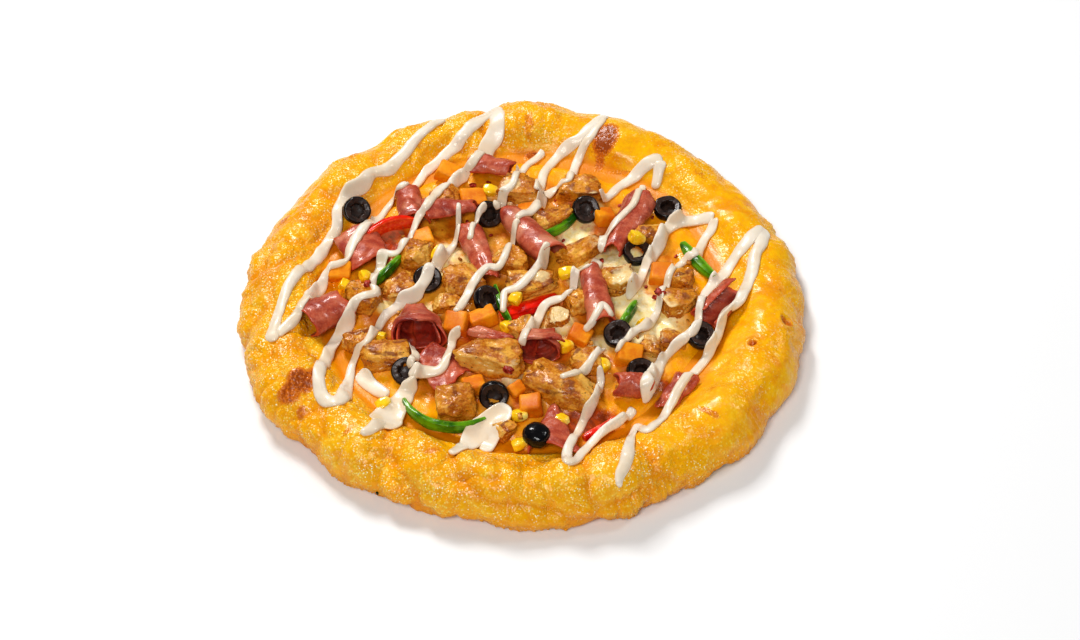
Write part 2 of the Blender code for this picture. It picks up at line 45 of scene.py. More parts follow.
# Sizes that the frame was built to, in millimetres where no unit is given
rim = {
    "radius": 147.5,
    "floorHeight": 14.0,
    "floorRadius": 104.0,
    "profile": (
        (11, 0), (3.5, 2.5), (0, 7.5), (0.6, 12.5), (5, 18.5), (12, 23), (20, 24.5), (27.5, 22.5), (34, 18),
        (39.5, 15),
    ),
    # plan angle, half width, rise, outward bulge
    "lobes": (
        (62, 14, 2.0, -1.8), (88, 9, 0.5, 0.5), (107, 6, -2.0, -2.0), (125, 14, -0.5, -1.6),
        (160, 9, -1.0, -0.5), (182, 14, 1.0, 2.0), (204, 9, 3.0, 2.5), (224, 11, 1.5, 1.5),
        (240, 4, -3.0, -3.5), (257, 10, 1.5, -2.0), (274, 4, -3.5, -1.5), (289, 10, 2.0, 2.0),
        (306, 5, -2.0, -1.0), (320, 8, 2.5, 4.0), (331, 4, -1.5, -0.5), (342, 9, 1.5, 2.5),
        (4, 12, -1.0, 1.5), (34, 15, -1.0, -2.0),
    ),
    "roughness": 1.1,
    "seed": 1795898754,
}
bed = {"top": 16.0, "radius": 102.0, "waver": 2.5, "restGap": 0.6}
restLevel = bed["top"] + bed["restGap"]


def smoothStep(low, high, value):
    share = min(1.0, max(0.0, (value - low) / (high - low)))
    return share * share * (3 - 2 * share)


def bell(offset, width):
    return math.exp(-((offset / width) ** 2))


def between(first, second, share):
    return first + (second - first) * share


def turnFrom(angle, middle):
    return (angle - middle + 180) % 360 - 180


def onCircle(angle, height=0.0):
    return Vector((math.cos(angle), math.sin(angle), height))


def numbered(stem, count, digits=2):
    return [f"{stem}_{index:0{digits}d}" for index in range(1, count + 1)]


def linearShare(value):
    share = value / 255
    if share <= 0.04045:
        return share / 12.92
    return ((share + 0.055) / 1.055) ** 2.4


# Colours are given as they look on a screen, 0 to 255
def linearColour(colour):
    if isinstance(colour, Wire):
        return colour
    return [linearShare(value) for value in colour] + [1.0]


def connect(place, value):
    if isinstance(value, Wire):
        place.id_data.links.new(value.output, place)
    else:
        place.default_value = value


def socketOf(places, key):
    return next(place for place in places if key in (place.identifier, place.name))


# The output of a node, which can be added to, multiplied and so on
class Wire:
    def __init__(self, output):
        self.output = output

    def math(self, operation, *values):
        made = self.output.id_data.nodes.new("ShaderNodeMath")
        made.operation = operation
        for place, value in zip(made.inputs, values):
            connect(place, value)
        return Wire(made.outputs[0])

    def __add__(self, other):
        return self.math("ADD", self, other)

    def __sub__(self, other):
        return self.math("SUBTRACT", self, other)

    def __rsub__(self, other):
        return self.math("SUBTRACT", other, self)

    def __mul__(self, other):
        return self.math("MULTIPLY", self, other)

    def atMost(self, other):
        return self.math("MINIMUM", self, other)

    __radd__ = __add__
    __rmul__ = __mul__


# One material, with short ways to add nodes to it
class Finish:
    def __init__(self, name, constants):
        self.material = bpy.data.materials.new(name)
        self.material.use_nodes = True
        self.tree = self.material.node_tree
        self.shader = self.tree.nodes["Principled BSDF"]
        for key, value in constants.items():
            self.shader.inputs[key].default_value = value
        self.spot = self.node("ShaderNodeTexCoord", {}, {}, "Object")

    def node(self, kind, settings, inputs, output=None):
        made = self.tree.nodes.new(kind)
        for key, value in settings.items():
            setattr(made, key, value)
        for key, value in inputs.items():
            connect(socketOf(made.inputs, key), value)
        return Wire(socketOf(made.outputs, output) if output else made.outputs[0])

    def noise(self, scale, detail=3.0, roughness=0.55, spot=None):
        inputs = {"Vector": spot or self.spot, "Scale": scale, "Detail": detail, "Roughness": roughness}
        return self.node("ShaderNodeTexNoise", {}, inputs)

    def cells(self, scale, softness):
        inputs = {"Vector": self.spot, "Scale": scale, "Smoothness": softness}
        return self.node("ShaderNodeTexVoronoi", {"feature": "SMOOTH_F1"}, inputs)

    def dots(self, scale):
        return self.node("ShaderNodeTexVoronoi", {}, {"Vector": self.spot, "Scale": scale})

    def attribute(self, name):
        return self.node("ShaderNodeAttribute", {"attribute_name": name}, {}, "Fac")

    # From nothing to the most as a value passes from low to high
    def fade(self, value, low, high, most=1.0):
        inputs = {"Value": value, "From Min": low, "From Max": high, "To Max": most}
        return self.node("ShaderNodeMapRange", {"interpolation_type": "SMOOTHSTEP"}, inputs)

    def mix(self, share, first, second):
        inputs = {"Factor_Float": share, "A_Color": linearColour(first), "B_Color": linearColour(second)}
        return self.node("ShaderNodeMix", {"data_type": "RGBA"}, inputs, "Result_Color")

    def blend(self, value, low, high, first, second, most=1.0):
        return self.mix(self.fade(value, low, high, most), first, second)

    def bump(self, height, depth, strength=1.0, below=None):
        inputs = {"Height": height, "Distance": depth, "Strength": strength}
        if below:
            inputs["Normal"] = below
        return self.node("ShaderNodeBump", {}, inputs)

    def feed(self, **values):
        names = {"colour": "Base Color", "roughness": "Roughness", "coat": "Coat Weight", "normal": "Normal"}
        for key, value in values.items():
            connect(self.shader.inputs[names[key]], value)
        return self.material


# Specular level, coat weight, roughness and index, share of light let in, and how deep in millimetres
def foodFinish(name, level, coat, share, depths):
    constants = {
        "Specular IOR Level": level,
        "Coat Weight": coat[0],
        "Coat Roughness": coat[1],
        "Coat IOR": coat[2],
        "Subsurface Weight": share,
        "Subsurface Radius": depths,
        "Subsurface Scale": mm,
    }
    return Finish(name, constants)


def addObject(name, data):
    made = bpy.data.objects.new(name, data)
    bpy.context.scene.collection.objects.link(made)
    return made


def meshOf(shape, name):
    mesh = bpy.data.meshes.new(name)
    shape.to_mesh(mesh)
    shape.free()
    return mesh


def addPiece(name, shape, finish, nodes=()):
    mesh = meshOf(shape, name)
    mesh.shade_smooth()
    mesh.materials.append(finish)
    piece = addObject(name, mesh)
    if nodes:
        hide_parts(*nodes)
    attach(piece, "root")
    mesh.calc_loop_triangles()
    print(f"{name}: {len(mesh.loop_triangles)} triangles")
    return piece


def layer(shape, name):
    layers = shape.verts.layers.float
    return layers.get(name) or layers.new(name)


# Adds one shape's geometry to another and frees it
def pour(source, target):
    mesh = meshOf(source, "pour")
    target.from_mesh(mesh)
    bpy.data.meshes.remove(mesh)


def placeShape(shape, x, y, turn, z=0.0):
    place = Matrix.Translation(Vector((x * mm, y * mm, z * mm)))
    matrix = place @ Matrix.Rotation(math.radians(turn), 4, "Z")
    bmesh.ops.transform(shape, matrix=matrix, verts=shape.verts)


def dropTo(shape, bottom):
    lowest = min(corner.co.z for corner in shape.verts)
    bmesh.ops.translate(shape, verts=shape.verts, vec=(0, 0, bottom * mm - lowest))


# Lays a part down at a level and adds it to the pieces
def settle(part, x, y, turn, level, pieces):
    dropTo(part, level)
    placeShape(part, x, y, turn)
    pour(part, pieces)


# Turns a shape by the last angle first, each about its axis
def tilt(shape, angle, axis, lastAngle, lastAxis):
    matrix = Matrix.Rotation(angle, 3, axis) @ Matrix.Rotation(lastAngle, 3, lastAxis)
    bmesh.ops.rotate(shape, verts=shape.verts, cent=(0, 0, 0), matrix=matrix)


# A turned form: a grid wrapped round the Z axis, with its rows at the given radii and heights
def wrapProfile(points, steps):
    shape = bmesh.new()
    bmesh.ops.create_grid(shape, x_segments=steps, y_segments=len(points) - 1, size=1)
    for corner in shape.verts:
        step = round((corner.co.x + 1) / 2 * steps) % steps
        radius, height = points[round((corner.co.y + 1) / 2 * (len(points) - 1))]
        turn = step / steps * math.tau
        corner.co = Vector((radius * math.cos(turn), radius * math.sin(turn), height))
    bmesh.ops.remove_doubles(shape, verts=shape.verts, dist=0.005 * mm)
    bmesh.ops.recalc_face_normals(shape, faces=shape.faces)
    return shape


# Points about a step apart on a smooth curve through the given ones, which may hold any number of values
def smoothLine(points, step):
    places = [np.array(point, float) for point in points]
    ends = [2 * places[0] - places[1]] + places + [2 * places[-1] - places[-2]]
    made = []
    for before, start, end, after in zip(ends, ends[1:], ends[2:], ends[3:]):
        square = 2 * before - 5 * start + 4 * end - after
        cube = 3 * start - before - 3 * end + after
        count = max(1, round(float(np.linalg.norm((end - start)[:2])) / step))
        for index in range(count):
            t = index / count
            made.append(0.5 * (2 * start + (end - before) * t + square * t**2 + cube * t**3))
    made.append(places[-1])
    return made


@lru_cache(maxsize=None)
def lobeSum(angle):
    rise = 0.0
    bulge = 0.0
    for middle, width, lobeRise, lobeBulge in rim["lobes"]:
        share = bell(turnFrom(angle, middle), width)
        rise += lobeRise * share
        bulge += lobeBulge * share
    return rise, bulge


# The frame's own form for the crust: a plain turned point moved into lobes and creases
def framePoint(point):
    radius = math.hypot(point.x, point.y)
    if radius < rim["floorRadius"] * mm:
        return point.copy()
    rise, bulge = lobeSum(round(math.degrees(math.atan2(point.y, point.x)), 2))
    onRim = smoothStep(rim["floorRadius"] * mm, (rim["floorRadius"] + 16) * mm, radius)
    aboveFoot = smoothStep(2 * mm, 20 * mm, point.z)
    bump = noise.noise_vector(point * 55) * rim["roughness"] * mm * onRim
    outward = Vector((point.x, point.y, 0)) / radius
    moved = point + outward * (bulge * mm * onRim + bump.x)
    moved.z += (rise * mm + 1.6 * bump.z) * onRim * aboveFoot
    return moved


crust = {
    "steps": 960,
    "profileStep": 0.86,
    # x, y, half length, half width, turn, height of a swollen bubble
    "bubbles": (
        (51, 104, 19, 12.5, 72, 3.6), (6, 122, 18, 13, 88, 1.6), (-30, 124, 14, 11, 105, 1.0),
        (-114, -66, 11, 7, 60, 2.6), (-126, 10, 18, 12, 95, 1.2), (-62, -112, 20, 14, 55, 1.5),
        (18, -128, 22, 13, 5, 1.8), (78, -104, 18, 12, -50, 1.6), (122, -62, 16, 12, -30, 1.6),
        (-20, -130, 16, 11, -5, 1.4),
    ),
    # x, y, half length, half width, turn, strength of a browned spot
    "spots": (
        (46.5, 111, 9, 7, 70, 1.0), (43, 100, 6, 3, 75, 0.6), (5, 107, 5, 3, 0, 0.8),
        (3, 122, 3, 9, 4, 0.4), (20, 124, 2.5, 8, -6, 0.25), (53, 93, 12, 1.4, -10, 0.35),
        (-117, -77, 5.5, 6, 60, 0.8), (-112, -72, 6, 7, 45, 0.95), (-106, -69, 5, 5, 15, 0.75),
        (137, -27, 4.2, 2.8, -20, 0.6), (118, -44, 2.6, 2.3, 0, 0.8), (93, -91, 7, 2.2, -35, 0.5),
        (-131, 53, 5, 2.2, 60, 0.6), (-112.5, -87, 4, 2.4, 40, 0.6), (-19, 108, 5, 2.5, 20, 0.6),
        (67, 126, 8, 3, -30, 0.45), (-88, -104, 4, 2, 30, 0.4), (-45, -118, 5, 2, 10, 0.4),
        (98, 84, 7, 3, -45, 0.35), (124, 60, 7, 3, -60, 0.3), (-96, 98, 8, 3, 45, 0.35),
        (-60, 124, 7, 3, 30, 0.3),
    ),
    # x, y, radius, depth of a burst bubble
    "craters": (
        (137, -27, 3.8, 1.3), (118, -44, 2.8, 1.8), (5, 107, 3, 0.8), (-92, -112, 2.4, 0.8),
    ),
    # plan angle, half width and height of crisp frills round the foot
    "frills": (
        (-62, 5, 1.3), (-71, 4, 0.7), (-42, 5, 0.8), (-150, 5, 0.6), (-15, 7, 0.8), (12, 9, 0.9),
    ),
    # plan angle and half width of the places where pale dough shows at the foot, and its height
    "bareDough": (
        (-153, 4.5, 6.5), (-49, 6, 6.5), (-38, 3, 4.5), (-118, 3, 3), (40, 7, 4), (120, 8, 4.5),
        (170, 6, 4),
    ),
    # plan angle, half width and share of grain of the rougher and smoother parts
    "grainZones": (
        (-150, 28, 0.9), (-110, 24, 0.9), (-72, 20, 0.8), (-30, 16, 0.35), (5, 22, 0.2), (45, 16, 0.35),
        (88, 14, 0.55), (112, 16, 0.8), (150, 26, 0.6), (180, 18, 0.75),
    ),
    # height of the pillows, and depth of the groove at their inner foot and how far out it runs
    "pillows": (9.5, 2.6),
    "groove": (0.9, 108.5),
}


def ovalShare(x, y, oval):
    spotX, spotY, halfLength, halfWidth, turn = oval[:5]
    angle = math.radians(turn)
    offsetX = x - spotX
    offsetY = y - spotY
    along = (offsetX * math.cos(angle) + offsetY * math.sin(angle)) / halfLength
    across = (offsetY * math.cos(angle) - offsetX * math.sin(angle)) / halfWidth
    return math.exp(-(along * along + across * across))


@lru_cache(maxsize=None)
def zoneShare(angle, zones):
    return sum(share * bell(turnFrom(angle, middle), width) for middle, width, share in zones)


# The ovals that can reach a plan angle of the rim
@lru_cache(maxsize=None)
def ovalsNear(angle, ovals):
    return [oval for oval in ovals if abs(turnFrom(math.degrees(math.atan2(oval[1], oval[0])), angle)) < 24]


# A noise's size, rounded off where it passes through nothing
def softFold(value):
    return (value * value + 0.004) ** 0.25


def crustShape():
    outline = [(rim["radius"] - inset, height) for inset, height in rim["profile"]]
    outline += [(rim["floorRadius"] - 1, rim["floorHeight"])]
    lower = [(radius, 0.0) for radius in (0, 40, 80, 110, 125, 132)]
    inner = [(radius, rim["floorHeight"]) for radius in (100, 60, 0)]
    points = lower + smoothLine(outline, crust["profileStep"]) + inner
    shape = wrapProfile([(radius * mm, height * mm) for radius, height in points], crust["steps"])
    brown, grain, dough, flat, creaseShade = [layer(shape, name) for name in crustMarks]
    plain = [corner.co.copy() for corner in shape.verts]
    noise.seed_set(rim["seed"])
    for corner in shape.verts:
        corner.co = framePoint(corner.co)
    shape.normal_update()
    largePillow, smallPillow = crust["pillows"]
    grooveDepth, grooveRadius = crust["groove"]
    for corner, start in zip(shape.verts, plain):
        place = corner.co
        x = place.x / mm
        y = place.y / mm
        radius = math.hypot(start.x, start.y) / mm
        height = start.z / mm
        angle = round(math.degrees(math.atan2(start.y, start.x)), 2)
        onRim = smoothStep(rim["floorRadius"] + 1, rim["floorRadius"] + 13, radius)
        outside = smoothStep(rim["radius"] - 16, rim["radius"] - 11, radius)
        top = smoothStep(0.2, 4, height)
        zone = zoneShare(angle, crust["grainZones"])
        broken = noise.noise(place * 38 + Vector((4, 1, 7)))
        grainHere = min(1.0, max(0.0, zone + broken * 0.9)) * onRim
        # Pillows are parted where a noise passes through nothing, and are flat where there is little grain
        fold = noise.noise(place * 31 + Vector((11, 3, 5)))
        smallFold = noise.noise(place * 84 + Vector((2, 9, 4)))
        lively = smoothStep(0.3, 0.75, zone)
        pillows = largePillow * (softFold(fold) - 0.42)
        pillows += smallPillow * (softFold(smallFold) - 0.4) * (0.5 + grainHere)
        pebbles = (0.5 - noise.voronoi(place * 460)[0][0]) * 0.7 * grainHere
        fine = noise.noise(place * 150) * 0.5 + noise.noise(place * 640) * (0.12 + 0.3 * grainHere)
        swell = sum(oval[5] * ovalShare(x, y, oval) for oval in ovalsNear(angle, crust["bubbles"]))
        rise = (swell + pillows * between(0.3, 1.0, lively) + pebbles + fine) * onRim
        rise -= grooveDepth * lively * bell(radius - grooveRadius, 2.2)
        for craterX, craterY, size, depth in crust["craters"]:
            offset = math.hypot(x - craterX, y - craterY)
            if offset < 2.5 * size:
                rise += depth * (0.55 * bell(offset - size, 0.4 * size) - bell(offset, 0.6 * size))
        rise += noise.noise(place * 95) * 0.25 * (1 - onRim) * smoothStep(100, 106, radius)
        # The cheese ends in a ragged lip, with paler dough under it at the foot
        bare = 1.2 + zoneShare(angle, crust["bareDough"])
        bare += noise.noise(onCircle(math.radians(angle)) * 22) * 1.6
        isDough = smoothStep(bare + 0.7, bare - 0.5, height) if outside > 0 else float(height < 0.1)
        lip = bell(height - bare - 1.3, 1.3) * outside
        ragged = noise.noise(place * 260 + Vector((3, 3, 3)))
        flutter = noise.noise(Vector((math.radians(angle) * 90, height * 0.05, 1)))
        frill = zoneShare(angle, crust["frills"]) * flutter
        side = lip * (0.9 + 1.1 * ragged) + 1.3 * frill * outside + 0.9 * noise.noise(place * 110) * outside
        side -= 1.1 * isDough * outside * top
        outward = Vector((place.x, place.y, 0)).normalized()
        corner.co = place + (corner.normal * rise * (1 - 0.75 * isDough) + outward * side) * top * mm
        corner.co.z = max(corner.co.z, 0.0)
        spots = ovalsNear(angle, crust["spots"])
        marks = [spot[5] * smoothStep(0.1, 0.75, ovalShare(x, y, spot)) for spot in spots]
        patch = smoothStep(0.3, 0.75, noise.noise(place * 30 + Vector((8, 8, 1)))) * onRim
        corner[brown] = max(marks, default=0.0) + 0.2 * patch + 0.3 * abs(frill) * outside
        corner[grain] = grainHere
        corner[dough] = isDough
        corner[flat] = 1 - onRim
        # Painted shade marks: deeper orange in the creases between pillows, along the groove at their inner
        # foot and under the ragged lip
        gaps = smoothStep(-0.25, 0.3, noise.noise(place * 28 + Vector((5, 5, 9))))
        foot = bell(radius - grooveRadius, 2.0) * gaps
        valleys = (0.42 * bell(fold, 0.075) + 0.2 * bell(smallFold, 0.06)) * onRim
        valleys *= between(0.4, 1.0, lively)
        corner[creaseShade] = min(1.0, valleys + (0.1 + 0.4 * lively) * foot + 0.4 * lip)
    return shape


def cheddarFinish():
    finish = foodFinish("bakedCheddar", 0.38, (0, 0.12, 1.25), 0.04, (0.6, 0.3, 0.08))
    brown, grain, dough, flat, creaseShade = [finish.attribute(name) for name in crustMarks]
    patches = finish.noise(64, 4.0)
    middle = finish.noise(210, 4.0, 0.6)
    pebble = finish.cells(600, 0.25)
    tiny = finish.cells(1150, 0.2)
    # Golden yellow, with lemon patches, deeper orange between the grains and pale grain tops; the orange
    # there is partly painted shade, and the pale tops partly painted highlight
    colour = finish.blend(middle, 0.34, 0.66, (254, 192, 8), (246, 170, 2))
    lemon = finish.blend(pebble, 0.15, 0.6, (255, 222, 84), (244, 192, 36))
    colour = finish.mix(finish.fade(finish.noise(42), 0.47, 0.64) * (grain * 0.5 + 0.4), colour, lemon)
    colour = finish.blend(patches, 0.52, 0.68, colour, (236, 142, 4), 0.65)
    # Each grain is paler on top, partly painted highlight, and deeper orange at its foot, partly painted
    # shade
    granules = finish.fade(pebble, 0.6, 0.05)
    colour = finish.mix((1.0 - granules) * grain * 0.5, colour, (240, 162, 6))
    grainTopsAndHighlights = finish.fade(pebble, 0.42, 0.16, 0.7) * finish.fade(middle, 0.34, 0.54) * grain
    colour = finish.mix(grainTopsAndHighlights, colour, (255, 228, 120))
    # Painted highlights: small near-white dots standing in for glints of light on the grains
    paintedGlints = finish.fade(finish.dots(620), 0.3, 0.14) * finish.fade(finish.noise(130), 0.44, 0.56)
    colour = finish.mix(paintedGlints * (grain * 1.1 + 0.15).atMost(1.0), colour, (255, 250, 216))
    flecks = finish.fade(finish.noise(150, 5.0, 0.7), 0.6, 0.7, 0.45) * (1.0 - flat)
    colour = finish.mix(flecks, colour, (255, 230, 160))
    smooth = finish.blend(patches, 0.35, 0.7, (234, 150, 0), (222, 131, 0))
    colour = finish.blend(flat, 0.35, 0.95, colour, smooth)
    # Painted shade: deeper orange in the creases, the groove and under the lip
    colour = finish.mix(creaseShade * 0.85, colour, (218, 112, 4))
    # Browned spots, from amber at their edge to toast
    marked = finish.fade(brown, 0.05, 0.35)
    rough = brown + ((middle - 0.5) * 0.5 + (0.35 - tiny) * 0.35) * marked
    toast = finish.blend(rough + (pebble - 0.4) * 0.7, 0.6, 1.1, (214, 116, 24), (156, 72, 10))
    amber = finish.blend(rough, 0.14, 0.45, colour, (222, 134, 26))
    colour = finish.blend(rough, 0.34, 0.7, amber, toast)
    specks = finish.fade(finish.dots(165), 0.1, 0.05, 0.5) * finish.fade(finish.noise(60), 0.52, 0.64)
    colour = finish.mix(specks * (1.0 - flat), colour, (160, 78, 14))
    # Pale dough at the foot, and the baked underside
    crumb = finish.blend(finish.noise(120, 4.0), 0.35, 0.7, (236, 196, 128), (212, 146, 70))
    height = finish.node("ShaderNodeSeparateXYZ", {}, {"Vector": finish.spot}, "Z")
    under = finish.blend(finish.noise(85, 5.0), 0.38, 0.66, (196, 136, 70), (128, 70, 28))
    crumb = finish.blend(height, 0.003, 0.0004, crumb, under)
    # Duller towards the foot, and a little darker there: painted shade
    low = finish.fade(height + (patches - 0.5) * 0.008, 0.015, 0.004)
    colour = finish.mix(low * 0.4, colour, (222, 128, 12))
    colour = finish.mix(dough, colour, crumb)
    grainy = (grain + marked).atMost(1.0)
    normal = finish.bump(granules, 0.0004, grainy * 0.6 + 0.1)
    normal = finish.bump(tiny, -0.0002, grainy * 0.3 + 0.15, normal)
    normal = finish.bump(finish.noise(1300, 3.0, 0.6), 0.00012, 0.3, normal)
    roughness = 0.21 + finish.fade(middle, 0.35, 0.75, 0.16) + dough * 0.4 + flat * 0.12 + low * 0.14
    coat = finish.fade(finish.noise(33), 0.4, 0.6, 0.3) * (1.0 - dough) * (1.0 - grainy) * (1.0 - low)
    return finish.feed(colour=colour, roughness=roughness, coat=coat, normal=normal)


crustMarks = ("brown", "grain", "dough", "flat", "creaseShade")
crustPiece = addPiece("crustTop", crustShape(), cheddarFinish(), ["crust"])


# Moves a point of a ball towards the cube round it
def squared(place, share):
    return place.lerp(place / max(map(abs, place)), share)


# A torn chunk in the frame's own form, then cut and wrinkled
def lumpShape(length, width, height, seed, squareness=0.62, roughness=0.14, detail=5, cuts=3, wrinkle=1.0):
    shape = bmesh.new()
    bmesh.ops.create_icosphere(shape, subdivisions=detail, radius=1.0)
    pale = layer(shape, "pale")
    char = layer(shape, "char")
    shift = Vector((seed * 7.3, seed * 3.1, seed * 5.7))
    planes = []
    for index in range(cuts):
        lean = 0.2 + 0.45 * math.sin(seed * 1.7 + index * 3.3)
        facing = onCircle(seed * 2.4 + index * 2.1, lean).normalized()
        planes.append((facing, 0.78 + 0.1 * math.sin(seed + index * 5)))
    for corner in shape.verts:
        unit = corner.co.copy()
        place = squared(unit, squareness)
        place *= 1 + roughness * noise.noise(place * 1.3 + shift)
        cut = 0.0
        for index, (facing, depth) in enumerate(planes):
            beyond = place.dot(facing) - depth
            if beyond > 0:
                place -= facing * beyond * 0.6
                if index == 0:
                    cut = max(cut, smoothStep(0.0, 0.16, beyond))
        bumps = noise.noise(unit * 2.6 + shift) * 0.11 + noise.noise(unit * 6.5 + shift) * 0.05
        bumps -= 0.05 * bell(abs(noise.noise(unit * 4 + shift * 1.3)), 0.1)
        bumps += noise.noise(unit * 16 + shift) * 0.028
        place *= 1 + bumps * wrinkle
        corner[pale] = cut
        corner[char] = smoothStep(0.15, 0.75, noise.noise(unit * 2.3 + shift * 2) + 0.35 * place.z)
        corner.co = Vector((place.x * length, place.y * width, place.z * height)) / 2 * mm
    return shape


# x, y, bearing, length, width, height
chicken = (
    (-42, 66, -9, 20, 15, 11), (-2, 72, -11, 24, 18, 13), (31, 72, -13, 24, 17, 13),
    (15, 49, 29, 25, 13, 11), (-58, 22, 0, 18, 17, 12), (-85, -13, -17, 20, 15, 16),
    (-64, 0, 23, 22, 16, 9), (-32, 3, 20, 22, 22, 13), (-7, 17, -13, 20, 16, 13), (4, 0, 12, 27, 18, 13),
    (31, 26, 39, 28, 13, 10), (50, 3, 13, 19, 17, 14), (-85, -39, 11, 18, 13, 11),
    (-70, -50, 0, 26, 17, 12), (-17, -51, -13, 36, 21, 14), (20, -72, -26, 39, 22, 15),
    (-35, -83, 6, 22, 18, 15), (81, -12, 11, 20, 18, 13), (68, 39, 0, 18, 13, 9),
)
smallChicken = (
    (-40, -12, 4, 17, 12, 9), (28, -12, 19, 13, 14, 11), (18, -23, -13, 12, 11, 9),
    (-1, -30, 20, 15, 12, 10), (33, -54, 9, 18, 15, 11), (84, 6, -22, 14, 12, 9), (66, -43, -14, 12, 13, 9),
    (77, -36, 4, 15, 12, 7), (-9, -97, 33, 12, 10, 8),
)


def chickenShape(table, seed, level, sinkShare):
    pieces = bmesh.new()
    for index, (x, y, turn, length, width, height) in enumerate(table):
        lump = lumpShape(length, width, height, index + seed)
        settle(lump, x, y, turn, level - sinkShare * height, pieces)
    return pieces


def chickenFinish():
    finish = foodFinish("roastChicken", 0.35, (0, 0.14, 1.3), 0.05, (0.6, 0.3, 0.1))
    broad = finish.noise(85)
    middle = finish.noise(260, 5.0, 0.65)
    fine = finish.noise(900, 4.0, 0.65)
    skin = finish.blend(broad, 0.36, 0.64, (212, 134, 22), (174, 90, 4))
    # Fine pale flecks, partly the meat's own grain and partly painted highlight
    skin = finish.blend(fine, 0.48, 0.64, skin, (240, 184, 72), 0.45)
    skin = finish.blend(finish.noise(120), 0.52, 0.64, skin, (238, 180, 74), 0.75)
    skin = finish.blend(finish.attribute("char") + (middle - 0.5) * 2.4, 0.4, 1.2, skin, (122, 54, 6), 0.85)
    skin = finish.blend(fine, 0.44, 0.32, skin, (146, 74, 10), 0.55)
    flesh = finish.blend(middle, 0.35, 0.7, (236, 190, 96), (208, 136, 34))
    colour = finish.blend(finish.attribute("pale") + (middle - 0.5) * 1.3, 0.3, 0.9, skin, flesh, 0.8)
    specks = finish.fade(finish.dots(460), 0.19, 0.12, 0.9) * finish.fade(finish.noise(150, 2.0), 0.5, 0.58)
    colour = finish.mix(specks, colour, (50, 24, 10))
    # Melted cheese that has run over the tops
    milk = finish.attribute("milk") + (broad - 0.5) * 1.2 + (middle - 0.5) * 0.6
    colour = finish.blend(milk, 0.62, 0.92, colour, (246, 222, 166), 0.75)
    normal = finish.bump(fine, 0.0002, 0.5, finish.bump(middle, 0.0008, 0.55))
    roughness = 0.32 + finish.fade(middle, 0.35, 0.7, 0.25)
    coat = finish.fade(finish.noise(70, 2.0), 0.42, 0.56, 0.6)
    return finish.feed(colour=colour, roughness=roughness, coat=coat, normal=normal)


chickenMaterial = chickenFinish()
largeChunks = chickenShape(chicken, 1, restLevel, 0.12)
smallChunks = chickenShape(smallChicken, 30, bed["top"], 0.08)
chickenNames = numbered("chicken", 19)
chickenPiece = addPiece("chickenPieces", largeChunks, chickenMaterial, chickenNames)
smallChickenPiece = addPiece("chickenBits", smallChunks, chickenMaterial, ["cheese_bed"])


# x, y, bearing, length, width at both ends, height, first and last turn of the section, lift
ham = (
    (-18, 88, -12, 24, 17, 11, 14, -60, 165, 0), (-62, 60, -78, 25, 14, 17, 13, -15, 200, 2),
    (-40, 54, 6, 28, 18, 8, 12, -60, 165, 2), (-87, 29, -70, 26, 26, 22, 11, -10, 195, 1),
    (-104, -21, 212, 23, 20, 20, 15, -60, 235, 0), (-56, -30, -84, 26, 22, 29, 16, -50, 225, 0),
    (-24, 23, -72, 40, 15, 11, 13, 0, 190, 3), (3, 35, -54, 40, 13, 19, 14, -50, 225, 2),
    (56, 45, -113, 44, 19, 10, 12, -10, 190, 4), (38, -11, -82, 40, 12, 16, 13, -45, 225, 2),
    (-44, -56, -52, 27, 20, 24, 6, 15, 165, 3), (8, -44, -88, 15, 25, 26, 15, 25, 335, 0.5),
    (-17, -34, -20, 22, 7, 6, 8, 0, 180, 2), (15, -96, -94, 28, 5, 28, 12, 0, 190, 0),
    (104, -13, -128, 29, 15, 17, 9.5, 105, 395, 0), (56, -70, 176, 18, 12, 12, 12, -60, 235, 0),
    (77, -71, -122, 26, 13, 9, 8, 0, 180, 0),
)
hamSheet = {"across": 56, "along": 34, "thickness": 1.4, "ripple": 0.16, "ruffle": 0.5}
# Numbers of the slices seen into from the near side: how far the top of the near end is drawn back,
# and the size of the far end against its plain one
hamOpenings = {6: (12, 0.4), 12: (7, 0.7)}


